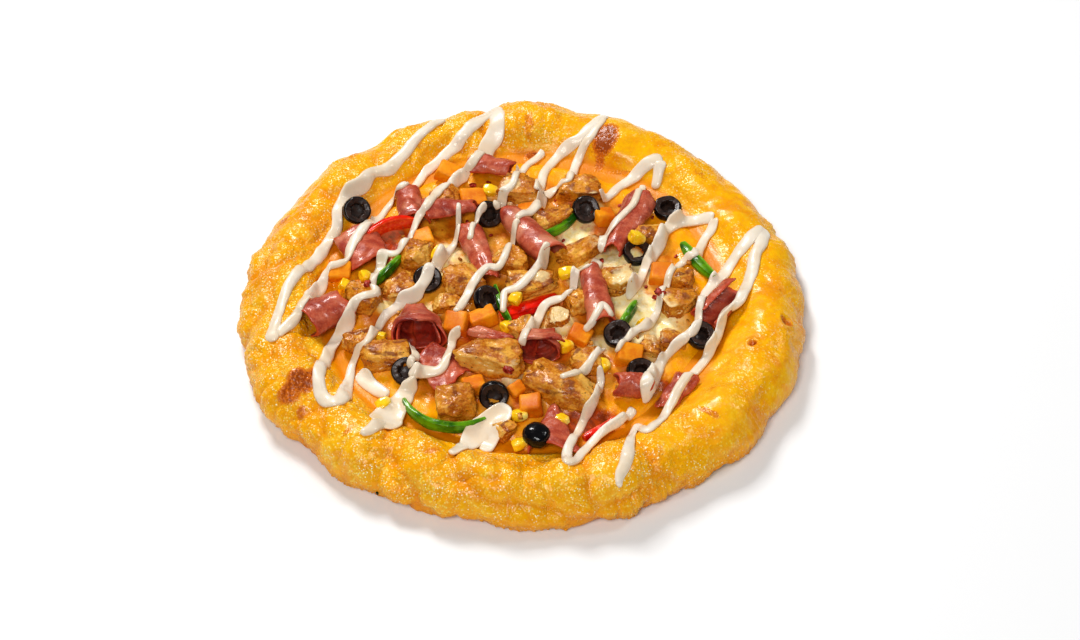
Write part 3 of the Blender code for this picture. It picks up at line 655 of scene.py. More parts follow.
def hamShape(length, startWidth, endWidth, height, start, end, opening, seed):
    drawnBack, farShare = opening
    shape = bmesh.new()
    bmesh.ops.create_grid(shape, x_segments=hamSheet["across"], y_segments=hamSheet["along"], size=1)
    edge = layer(shape, "edge")
    innerShade = layer(shape, "innerShade")
    shift = Vector((seed * 2.7, seed * 4.1, 0))
    for corner in shape.verts:
        across = (corner.co.x + 1) / 2
        along = (corner.co.y + 1) / 2
        # Wavy cut edges
        waver = 0.05 * noise.noise(Vector((along * 4, seed * 3.3, 1)))
        turn = math.radians(between(start, end, between(across, 0.5, waver)))
        width = between(startWidth, endWidth, along)
        grow = 0.55 + 0.45 * width / max(startWidth, endWidth)
        ripple = 1 + hamSheet["ripple"] * noise.noise(Vector((across * 5, along * 3, 0)) + shift)
        size = (1 - 0.16 * across) * ripple * between(farShare, 1, smoothStep(0, 0.6, along)) / 2
        ruffle = noise.noise(Vector((across * 7, along * 9, 2)) + shift) * hamSheet["ruffle"]
        ruffle += noise.noise(Vector((across * 2, along * 22, 5)) + shift) * 0.25 * abs(across - 0.5)
        frill = 0.9 * noise.noise(Vector((across * 9, seed * 1.9, along > 0.5))) * (2 * along - 1) ** 2
        frill -= drawnBack * smoothStep(-0.4, 1.0, math.sin(turn)) * along**3
        forward = (along - 0.5) * length + 1.5 * math.sin(turn * 2 + seed) + frill
        side = (width * size + ruffle) * math.cos(turn)
        up = (height * grow * size + ruffle) * math.sin(turn)
        corner[edge] = max(abs(across - 0.5), abs(along - 0.5)) * 2
        corner.co = Vector((forward, side, up)) * mm
    bmesh.ops.recalc_face_normals(shape, faces=shape.faces)
    shape.normal_update()
    # The section runs round an axis, so the side that faces the axis is the inside
    shape.verts.ensure_lookup_table()
    middle = shape.verts[len(shape.verts) // 2]
    if middle.normal.dot(Vector((0, middle.co.y, middle.co.z))) < 0:
        bmesh.ops.reverse_faces(shape, faces=shape.faces)
        shape.normal_update()
    facings = {tuple(corner.co): corner.normal.copy() for corner in shape.verts}
    outerCorners = shape.verts[:]
    made = bmesh.ops.extrude_face_region(shape, geom=shape.faces[:])
    innerCorners = [part for part in made["geom"] if isinstance(part, bmesh.types.BMVert)]
    for corners, way in ((innerCorners, -1), (outerCorners, 1)):
        for corner in corners:
            reach = hamSheet["thickness"] / 2 * mm * (1 - 0.55 * corner[edge] ** 14)
            corner.co += facings[tuple(corner.co)] * reach * way
    # The inner face is marked for painted shade, fully where the slice is seen into and faintly elsewhere
    for corner in innerCorners:
        corner[innerShade] = 1.0 if drawnBack else 0.35
    bmesh.ops.recalc_face_normals(shape, faces=shape.faces)
    return shape


def allHam():
    pieces = bmesh.new()
    for index, (x, y, turn, length, startWidth, endWidth, height, start, end, lift) in enumerate(ham):
        opening = hamOpenings.get(index + 1, (0, 1))
        sheet = hamShape(length, startWidth, endWidth, height, start, end, opening, index)
        settle(sheet, x, y, turn, restLevel + lift, pieces)
        if index + 1 in hamOpenings:
            # The slice's inner fold, which closes the view through it
            inner = (length * 0.9, startWidth * 0.8, endWidth * 0.8, height * 0.86)
            fold = hamShape(*inner, -110, 262, (opening[0], 0.1), index + 40)
            settle(fold, x, y, turn, bed["top"] + bed["restGap"] / 2, pieces)
    return pieces


def hamFinish():
    finish = foodFinish("slicedHam", 0.4, (0, 0.1, 1.3), 0.06, (1.2, 0.36, 0.24))
    stretch = {"Vector": finish.spot, "Vector_001": (110, 210, 160)}
    stretched = finish.node("ShaderNodeVectorMath", {"operation": "MULTIPLY"}, stretch)
    streak = finish.noise(1.0, spot=stretched)
    middle = finish.noise(260, 4.0, 0.6)
    fine = finish.noise(1100, 3.0, 0.6)
    pink = finish.blend(streak, 0.34, 0.66, (170, 68, 46), (203, 105, 74))
    pink = finish.blend(finish.noise(70), 0.5, 0.66, pink, (140, 34, 22), 0.7)
    # Pale patches and fine pale flecks, partly the ham's own tone and partly painted sheen
    pink = finish.blend(finish.noise(48, 2.0), 0.54, 0.66, pink, (229, 156, 122), 0.6)
    pink = finish.blend(fine, 0.54, 0.7, pink, (225, 151, 120), 0.35)
    pink = finish.blend(fine, 0.44, 0.3, pink, (148, 50, 42), 0.4)
    # Painted shade: the inner face of each roll is dark red
    red = finish.blend(middle, 0.35, 0.7, (158, 34, 18), (100, 12, 4))
    colour = finish.mix(finish.attribute("innerShade") * 0.78, pink, red)
    rind = finish.attribute("edge") + (middle - 0.5) * 0.16
    colour = finish.blend(rind, 0.86, 0.99, colour, (200, 78, 40), 0.75)
    normal = finish.bump(fine, 0.0002, 0.6, finish.bump(middle, 0.0006, 0.7))
    roughness = 0.3 + finish.fade(middle, 0.35, 0.7, 0.2)
    coat = finish.fade(finish.noise(95, 2.0), 0.42, 0.56, 0.7)
    return finish.feed(colour=colour, roughness=roughness, coat=coat, normal=normal)


hamPiece = addPiece("hamSlices", allHam(), hamFinish(), numbered("ham", 17))


# x, y, height of the middle, tilt, bearing that the tilt faces
olives = (
    (-91, 55, 21, 42, -70), (-19, 51, 24, 50, -60), (34, 55, 24, 40, -80), (79, 59, 20.5, 12, -100),
    (61, 25, 21, 14, -90), (-51, 3, 23.5, 35, -75), (-19, -12, 23.5, 40, -40), (49, -36, 23, 20, -120),
    (92, -35, 20.5, 18, -60), (-15, -78, 21.5, 55, -85), (60, -61, 20.5, 25, -60),
    (-60, -61, 20.5, 35, -110),
)
olive = {"diameter": 15.5, "hole": 7.5, "slice": 5.6, "steps": 72, "end": (6.5, -103, 14.5, 13.5, 11)}


def oliveShape(seed):
    inner = olive["hole"] / 2
    outer = olive["diameter"] / 2
    half = olive["slice"] / 2
    corners = (
        (inner, -half * 0.8), (outer - 1.6, -half), (outer - 0.5, -half * 0.75),
        (outer, -half * 0.1), (outer - 0.35, half * 0.65), (outer - 1.1, half),
        (outer - 2.2, half * 0.92), (inner + 0.8, half * 0.86), (inner + 0.1, half * 0.72),
        (inner - 0.2, 0), (inner, -half * 0.8),
    )
    section = [(radius * mm, height * mm) for radius, height in smoothLine(corners, 0.42)]
    shape = wrapProfile(section, olive["steps"])
    cut = layer(shape, "cut")
    for corner in shape.verts:
        radius = math.hypot(corner.co.x, corner.co.y) / mm
        circle = onCircle(math.atan2(corner.co.y, corner.co.x), seed * 1.7)
        share = smoothStep(outer - 0.5, inner, radius)
        wander = noise.noise(circle * 1.2) * 0.5 * (1 - share) + noise.noise(circle * 3.5) * 1.1 * share
        wander += noise.noise(corner.co * 420 + circle) * 0.12
        corner[cut] = smoothStep(outer - 0.75, outer - 1.5, radius)
        corner.co.xy *= (radius + wander) / radius
        corner.co.z += noise.noise(circle * 1.4 + Vector((5, 0, 0))) * 0.5 * mm
    # A dark disc that closes the hole towards its lower side: painted shade for the shadowed depth of the
    # hole
    holeShade = bmesh.new()
    bmesh.ops.create_icosphere(holeShade, subdivisions=4, radius=1.0)
    holeShadeCut = layer(holeShade, "cut")
    width = inner + 0.5
    for corner in holeShade.verts:
        corner[holeShadeCut] = 1.0
        x, y, z = corner.co
        dent = 1 - 0.9 * bell(math.hypot(x, y), 0.7) * (z > 0)
        corner.co = Vector((x * width, y * width, z * 0.8 * dent - half * 0.72)) * mm
    pour(holeShade, shape)
    return shape


def allOlives():
    rings = bmesh.new()
    for index, (x, y, height, lean, facing) in enumerate(olives):
        ring = oliveShape(index)
        tilt(ring, math.radians(facing), "Z", math.radians(lean), "Y")
        bmesh.ops.translate(ring, verts=ring.verts, vec=(0, 0, height * mm))
        lowest = min(corner.co.z for corner in ring.verts) / mm
        placeShape(ring, x, y, 0, max(0.0, restLevel - lowest))
        pour(ring, rings)
    x, y, length, width, height = olive["end"]
    cap = lumpShape(length, width, height, 4, 0.1, 0.03, 5, 0, 0.2)
    layer(cap, "cut")
    settle(cap, x, y, -30, restLevel, rings)
    return rings


def oliveFinish():
    finish = foodFinish("blackOlive", 0.35, (0.35, 0.05, 1.3), 0, (1, 1, 1))
    cut = finish.attribute("cut")
    middle = finish.noise(380, 4.0, 0.6)
    skin = finish.blend(middle, 0.35, 0.7, (8, 8, 12), (18, 15, 18))
    # The cut face is brown, and the disc of painted shade in the hole takes the same colour
    face = finish.blend(middle, 0.35, 0.65, (40, 27, 22), (66, 44, 34))
    normal = finish.bump(middle, 0.0004, cut * 0.5 + 0.12)
    roughness = 0.15 + cut * 0.2 + middle * 0.1
    return finish.feed(colour=finish.mix(cut, skin, face), roughness=roughness, normal=normal)


# The eleventh is the rounded end slice, made last
oliveNames = numbered("olive", 13)
oliveNames.append(oliveNames.pop(10))
olivePiece = addPiece("oliveSlices", allOlives(), oliveFinish(), oliveNames)


# x, y, bearing, length, turn of the bend, width, height, lift
redPeppers = (
    (-72, 46, 22, 32, -60, 5.5, 9, 0), (3, -14, 24, 33, 18, 10, 5, 0.5), (41, -96, 34, 26, 12, 5.5, 5.5, 0),
)
greenPeppers = (
    (-73, 9, 54, 27, 12, 4.5, 6, 3), (21, 44, 42, 29, 45, 4.5, 5, 2.5), (-12, -14, -72, 27, 20, 4, 5.5, 3),
    (55, -20, 62, 19, 14, 5, 6.5, 1), (93, 20, -58, 30, 18, 7, 5, 0.5),
    (-43, -94.5, -17, 50, 105, 4.5, 6, 0),
)


def pepperShape(length, bend, width, height, seed):
    shape = bmesh.new()
    bmesh.ops.create_cube(shape, size=1)
    bmesh.ops.subdivide_edges(shape, edges=shape.edges[:], cuts=11, use_grid_fill=True)
    longEdges = [edge for edge in shape.edges if abs(edge.verts[0].co.x - edge.verts[1].co.x) > 0.01]
    bmesh.ops.subdivide_edges(shape, edges=longEdges, cuts=3, use_grid_fill=True)
    flesh = layer(shape, "flesh")
    radius = length / math.radians(bend)
    shift = Vector((seed * 3.7, seed * 1.3, seed * 2.9))
    for corner in shape.verts:
        share, across, up = corner.co * 2
        largest = max(abs(across), abs(up), 1e-6)
        size = math.hypot(across, up) or 1e-6
        rounding = 0.42 if largest > 0.99 else 0.42 * largest
        across = between(across, across / size * largest, rounding)
        up = between(up, up / size * largest, rounding)
        turn = math.radians(bend) * corner.co.x
        spot = Vector((corner.co.x * 6, across, up)) + shift
        narrow = (1 - 0.45 * abs(share) ** 3) * (1 + 0.09 * noise.noise(spot * 1.1))
        crown = 1 - 0.25 * (up > 0) * min(1.0, up * 2)
        reach = radius - across / 2 * width * narrow * crown
        # The outer wall is skin, and the inner wall and the cut ends are paler flesh
        inner = across if bend > 0 else -across
        corner[flesh] = max(smoothStep(0.1, 0.85, inner), smoothStep(0.93, 1.0, abs(share)))
        rise = up / 2 * height * narrow + 0.5 * noise.noise(spot * 0.6)
        corner.co = Vector((reach * math.sin(turn), radius - reach * math.cos(turn), rise)) * mm
    bmesh.ops.recalc_face_normals(shape, faces=shape.faces)
    return shape


def allPeppers(table, seed):
    strips = bmesh.new()
    for index, (x, y, turn, length, bend, width, height, lift) in enumerate(table):
        strip = pepperShape(length, bend, width, height, seed + index)
        settle(strip, x, y, turn, restLevel + lift, strips)
    return strips


def pepperFinish(name, light, dark, flesh, highlight):
    finish = foodFinish(name, 0.35, (0.35, 0.07, 1.3), 0.06, (0.8, 0.6, 0.2))
    inner = finish.attribute("flesh")
    middle = finish.noise(520)
    skin = finish.blend(finish.noise(130), 0.36, 0.64, light, dark)
    colour = finish.mix(inner * 0.85, skin, finish.blend(middle, 0.4, 0.7, flesh, highlight))
    normal = finish.bump(middle, 0.00025, inner * 0.6 + 0.15)
    return finish.feed(colour=colour, roughness=0.2 + inner * 0.15 + middle * 0.08, normal=normal)


redFinish = pepperFinish("redPepper", (240, 34, 0), (186, 4, 0), (224, 60, 8), (244, 110, 40))
greenFinish = pepperFinish("greenPepper", (104, 158, 14), (36, 96, 4), (128, 184, 38), (176, 212, 84))
redNames = numbered("red_pepper", 3, 1)
greenNames = numbered("green_pepper", 6, 1)
redStrips = allPeppers(redPeppers, 1)
redPiece = addPiece("redPepperStrips", redStrips, redFinish, redNames)
greenStrips = allPeppers(greenPeppers, 11)
greenPiece = addPiece("greenPepperStrips", greenStrips, greenFinish, greenNames)


# x, y, bearing, length, width, height
carrots = (
    (-42, 87, -20, 13, 11, 8), (-28, 66, 8, 14, 12, 9), (3, 56, -5, 13, 9, 8), (-55, 35, 15, 12, 11, 8),
    (-98, 12, 0, 12, 11, 7), (44, 52, 20, 11, 11, 8), (73, 10, -8, 12, 13, 8), (-35, -27, -12, 12, 12, 8),
    (-21, -23, 22, 14, 10, 8), (29, -35, -25, 11, 10, 8), (54, -50, -6, 14, 12, 10),
    (-25, -70, 14, 12, 12, 8), (4, -83, 0, 11, 11, 9), (-3, -71, 40, 9, 8, 7),
)


def carrotShape():
    dice = bmesh.new()
    for index, (x, y, turn, length, width, height) in enumerate(carrots):
        cube = bmesh.new()
        bmesh.ops.create_cube(cube, size=1)
        bmesh.ops.scale(cube, verts=cube.verts, vec=(length * mm, width * mm, height * mm))
        shift = Vector((index * 2.3, index * 1.1, 4))
        for corner in cube.verts:
            corner.co *= 1 + 0.26 * noise.noise(corner.co * 90 + shift)
        rounding = {"offset": 1.5 * mm, "segments": 4, "profile": 0.5, "affect": "EDGES", "material": -1}
        bmesh.ops.bevel(cube, geom=cube.edges, **rounding)
        bmesh.ops.subdivide_edges(cube, edges=cube.edges[:], cuts=2, use_grid_fill=True)
        for corner in cube.verts:
            corner.co += corner.co.normalized() * noise.noise(corner.co * 200 + shift) * 0.5 * mm
        tilt(cube, 0.28 * math.sin(index * 2.1), "X", 0.25 * math.cos(index * 1.3), "Y")
        settle(cube, x, y, turn, bed["top"] - 0.08 * height, dice)
    return dice


def carrotFinish():
    finish = foodFinish("carrotDice", 0.25, (0.08, 0.15, 1.3), 0.05, (0.8, 0.5, 0.1))
    middle = finish.noise(600, 4.0, 0.6)
    colour = finish.blend(finish.noise(110), 0.35, 0.65, (244, 156, 14), (224, 120, 4))
    colour = finish.blend(middle, 0.5, 0.7, colour, (250, 180, 44), 0.4)
    colour = finish.blend(finish.noise(45, 2.0), 0.5, 0.62, colour, (204, 90, 4), 0.5)
    normal = finish.bump(middle, 0.0004, 0.7)
    return finish.feed(colour=colour, roughness=0.38 + middle * 0.2, normal=normal)


carrotPiece = addPiece("carrotDice", carrotShape(), carrotFinish(), ["cheese_bed"])


# x, y, bearing, length, width, height, lift
corns = (
    (-18, 71, -8, 10, 7, 6, 4), (61, 29, 10, 10, 8, 7, 9), (23, 7, 8, 10, 7, 6, 5),
    (-4, -12, 60, 9, 7, 6, 6), (-74, -34, 80, 8, 6, 5, 1), (40, -56, 20, 10, 9, 7, 2),
    (-2, -89, -40, 10, 8, 6, 1), (63, -27, 50, 9, 7, 6, 2), (-8, -29, 40, 9, 7, 6, 3),
    (-46, 23, 70, 10, 7, 6, 3), (22, -42, 25, 9, 7, 6, 2), (-94, 2, -15, 9, 7, 5, 1),
    (-71, -80, 30, 9, 7, 5, 0.5), (-2, -106, 15, 9, 7, 5, 0.5), (-84, 8, 30, 8, 7, 5, 2),
    (19, -91, -20, 9, 7, 6, 1),
)


def cornShape():
    kernels = bmesh.new()
    for index, (x, y, turn, length, width, height, lift) in enumerate(corns):
        kernel = bmesh.new()
        bmesh.ops.create_icosphere(kernel, subdivisions=4, radius=1.0)
        tip = layer(kernel, "tip")
        shift = Vector((index * 3.1, 2, index * 1.7))
        for corner in kernel.verts:
            place = squared(corner.co, 0.42)
            corner[tip] = smoothStep(0.35, 1.0, place.x)
            # It narrows towards the tip, with a dimple in the broad end
            place.yz *= 1 - 0.34 * smoothStep(-0.2, 1.1, place.x)
            place.x += 0.22 * bell(math.hypot(place.y, place.z), 0.5) * smoothStep(-0.4, -0.9, place.x)
            place *= 1 + 0.05 * noise.noise(place * 2 + shift)
            corner.co = Vector((place.x * length, place.y * width, place.z * height)) / 2 * mm
        tilt(kernel, 0.5 * math.sin(index * 1.9), "Y", 0.3 * math.cos(index * 2.7), "X")
        settle(kernel, x, y, turn, bed["top"] - 0.5 + lift, kernels)
    return kernels


def cornFinish():
    finish = foodFinish("sweetcorn", 0.4, (0.5, 0.08, 1.5), 0.2, (1.0, 0.6, 0.1))
    middle = finish.noise(300)
    colour = finish.blend(middle, 0.35, 0.65, (255, 214, 36), (250, 190, 8))
    colour = finish.mix(finish.attribute("tip"), colour, (250, 222, 120))
    normal = finish.bump(middle, 0.0003, 0.4)
    return finish.feed(colour=colour, roughness=0.22 + middle * 0.1, normal=normal)


cornPiece = addPiece("cornKernels", cornShape(), cornFinish(), ["cheese_bed"])


# Heights of what lies below, seen from straight above, on a square grid
class HeightMap:
    def __init__(self, reach, cell, values):
        self.reach = reach
        self.cell = cell
        self.values = values
        self.count = values.shape[0]

    def at(self, x, y):
        places = [(value + self.reach) / self.cell for value in (x, y)]
        column, row = [min(max(place, 0.0), self.count - 1.001) for place in places]
        left = int(column)
        low = int(row)
        near, far = self.values[low : low + 2, left : left + 2]
        share = column - left
        return float(between(between(*near, share), between(*far, share), row - low))

    def blurred(self, width):
        reach = max(1, round(3 * width / self.cell))
        weights = np.exp(-0.5 * (np.arange(-reach, reach + 1) * self.cell / width) ** 2)
        weights /= weights.sum()
        made = np.pad(self.values, reach, mode="edge")
        made = sum(weight * made[:, index : index + self.count] for index, weight in enumerate(weights))
        made = sum(weight * made[index : index + self.count] for index, weight in enumerate(weights))
        return HeightMap(self.reach, self.cell, made)

    def widened(self, width, pick=np.maximum):
        reach = round(width / self.cell)
        padded = np.pad(self.values, reach, mode="edge")
        made = self.values.copy()
        for down in range(2 * reach + 1):
            for across in range(2 * reach + 1):
                if (down - reach) ** 2 + (across - reach) ** 2 <= reach * reach:
                    made = pick(made, padded[down : down + self.count, across : across + self.count])
        return HeightMap(self.reach, self.cell, made)


# One search tree over the meshes of several pieces
def treeOf(pieces):
    joined = bmesh.new()
    for piece in pieces:
        joined.from_mesh(piece.data)
    tree = BVHTree.FromBMesh(joined)
    joined.free()
    return tree


def heightsOf(pieces, reach, floor):
    tree = treeOf(pieces)
    count = 2 * reach + 1
    values = np.full((count, count), floor, float)
    for row in range(count):
        for column in range(count):
            start = Vector(((column - reach) * mm, (row - reach) * mm, 0.1))
            hit = tree.ray_cast(start, Vector((0, 0, -1)))[0]
            if hit:
                values[row, column] = max(floor, hit.z / mm)
    return HeightMap(reach, 1.0, values)


solidToppings = [chickenPiece, smallChickenPiece, olivePiece, redPiece, greenPiece, carrotPiece, cornPiece]
toppings = solidToppings + [hamPiece]
meltHeights = heightsOf(solidToppings, 120, bed["top"]).blurred(3.0)
print("heights of the toppings read")

# x, y, radius, strength of the patches of white melted cheese, and of orange oil
melt = {
    "share": 0.55,
    "clear": 0.8,
    "steps": 520,
    "whiteRise": 1.6,
    "white": (
        (-73, 43, 8, 1.0), (-73, -12, 7, 0.9), (-7, 70, 8, 1.0), (28, 37, 12, 1.0), (38, 58, 10, 1.0),
        (-42, 29, 9, 1.0), (-42, 12, 8, 0.8), (29, 11, 9, 1.0), (19, -22, 10, 1.0), (49, 22, 12, 1.0),
        (64, 16, 9, 1.0), (54, -4, 12, 1.0), (66, -15, 12, 1.0), (82, -24, 9, 0.9), (11, -39, 10, 1.0),
        (-6, -62, 9, 0.9), (39, -39, 9, 0.8), (64, -33, 12, 1.0), (56, -78, 9, 0.7), (70, -56, 10, 0.8),
        (-24, 65, 7, 1.0), (-24, 22, 8, 1.0), (-92, -6, 6, 0.8), (8, 2, 8, 1.0), (-48, -14, 8, 0.8),
        (-54, 58, 6, 0.9),
    ),
    "oil": (
        (-74, 38, 13, 1.0), (-50, 60, 9, 0.8), (-92, 22, 10, 0.8), (-28, 40, 10, 0.8), (-58, -42, 12, 1.0),
        (-96, -30, 9, 0.5), (8, 18, 9, 0.8), (46, -30, 10, 0.7), (0, -66, 11, 0.9), (24, -92, 14, 1.0),
        (44, -90, 12, 0.9), (70, -64, 10, 0.8), (70, 40, 8, 0.5), (-20, 76, 9, 0.8), (-28, -30, 8, 0.7),
        (98, -22, 9, 0.7), (46, 16, 8, 0.7), (-40, -66, 8, 0.6),
    ),
}


def discShare(x, y, discs):
    return min(1.0, sum(disc[3] * bell(math.hypot(x - disc[0], y - disc[1]), disc[2]) for disc in discs))


def bedShape():
    shares = [max(0.0, 1.012 - 0.0096 * index) for index in range(105)]
    shape = wrapProfile([(share, 0.0) for share in reversed(shares)], melt["steps"])
    white, oil, cheddar = [layer(shape, name) for name in ("white", "oil", "cheddar")]
    for corner in shape.verts:
        share = math.hypot(corner.co.x, corner.co.y)
        angle = math.atan2(corner.co.y, corner.co.x)
        reach = bed["radius"] + bed["waver"] * 2 * noise.noise(onCircle(angle, 0.3) * 2.2)
        reach += 1.8 * noise.noise(onCircle(angle, 2) * 14)
        x = corner.co.x * reach
        y = corner.co.y * reach
        place = Vector((x, y, 0)) * mm
        whiteHere = discShare(x, y, melt["white"])
        rise = melt["share"] * max(0.0, meltHeights.at(x, y) - bed["top"] - melt["clear"])
        waver = noise.noise(place * 60) * 0.8 + noise.noise(place * 150) * 0.6
        rise += waver + noise.noise(place * 340) * 0.3
        rise += melt["whiteRise"] * whiteHere * (0.7 + noise.noise(place * 90))
        height = between(rim["floorHeight"] - 0.5, bed["top"] + rise, smoothStep(1.0, 0.93, share))
        corner.co = Vector((x, y, height)) * mm
        corner[white] = whiteHere
        corner[oil] = discShare(x, y, melt["oil"])
        corner[cheddar] = smoothStep(80, 95, share * reach + 8 * noise.noise(place * 45))
    shape.normal_update()
    if sum(face.normal.z for face in list(shape.faces)[:50]) < 0:
        bmesh.ops.reverse_faces(shape, faces=shape.faces)
    return shape


def bedFinish():
    finish = foodFinish("meltedCheese", 0.3, (0, 0.08, 1.3), 0.06, (0.96, 0.6, 0.24))
    broad = finish.noise(85, 4.0)
    middle = finish.noise(240, 4.0, 0.6)
    base = finish.blend(broad, 0.36, 0.64, (232, 160, 42), (198, 104, 12))
    cream = finish.blend(middle, 0.35, 0.7, (250, 238, 196), (242, 212, 130))
    colour = finish.blend(finish.attribute("white") + (middle - 0.5) * 0.9, 0.35, 0.8, base, cream)
    yellow = finish.blend(middle, 0.35, 0.7, (255, 178, 0), (250, 160, 0))
    colour = finish.mix(finish.attribute("cheddar"), colour, yellow)
    red = finish.blend(middle, 0.35, 0.65, (190, 64, 4), (124, 22, 2))
    colour = finish.blend(finish.attribute("oil") + (broad - 0.5) * 1.6, 0.3, 0.9, colour, red, 0.9)
    blister = finish.fade(finish.dots(230), 0.26, 0.12, 0.75) * finish.fade(finish.noise(60), 0.5, 0.62)
    colour = finish.mix(blister, colour, (196, 80, 8))
    normal = finish.bump(finish.noise(800, 3.0, 0.6), 0.0003, 0.5, finish.bump(middle, 0.0009, 0.7))
    roughness = 0.28 + finish.fade(middle, 0.35, 0.7, 0.22)
    coat = finish.fade(finish.noise(70, 2.0), 0.4, 0.56, 0.5)
    return finish.feed(colour=colour, roughness=roughness, coat=coat, normal=normal)


bedPiece = addPiece("cheeseBed", bedShape(), bedFinish(), ["cheese_bed"])


# Marks the upper sides of a piece that lie where the white cheese has run
def addMilk(piece):
    milk = piece.data.attributes.new("milk", "FLOAT", "POINT")
    for mark, corner in zip(milk.data, piece.data.vertices):
        onTop = smoothStep(0.1, 0.7, corner.normal.z)
        mark.value = onTop * discShare(corner.co.x / mm, corner.co.y / mm, melt["white"])


addMilk(chickenPiece)
addMilk(smallChickenPiece)


# The photo's camera, worked out from the pizza's own outline
view = {
    "elevation": 47.0,
    "target": (0, 0, 0.012),
    "distance": 1.2,
    "focalPixels": 2252,
    "frame": (1080, 640),
    "targetPixel": (523.5, 298.0),
}


def addCamera():
    lean = math.radians(view["elevation"])
    width, height = view["frame"]
    column, row = view["targetPixel"]
    data = bpy.data.cameras.new("photoView")
    data.sensor_width = 36
    data.lens = view["focalPixels"] * data.sensor_width / width
    data.shift_x = (width / 2 - column) / width
    data.shift_y = (row - height / 2) / width
    camera = addObject("photoView", data)
    camera.location = Vector(view["target"]) + Vector((0, -math.cos(lean), math.sin(lean))) * view["distance"]
    camera.rotation_euler = (math.pi / 2 - lean, 0, 0)
    bpy.context.scene.camera = camera
    return camera


camera = addCamera()

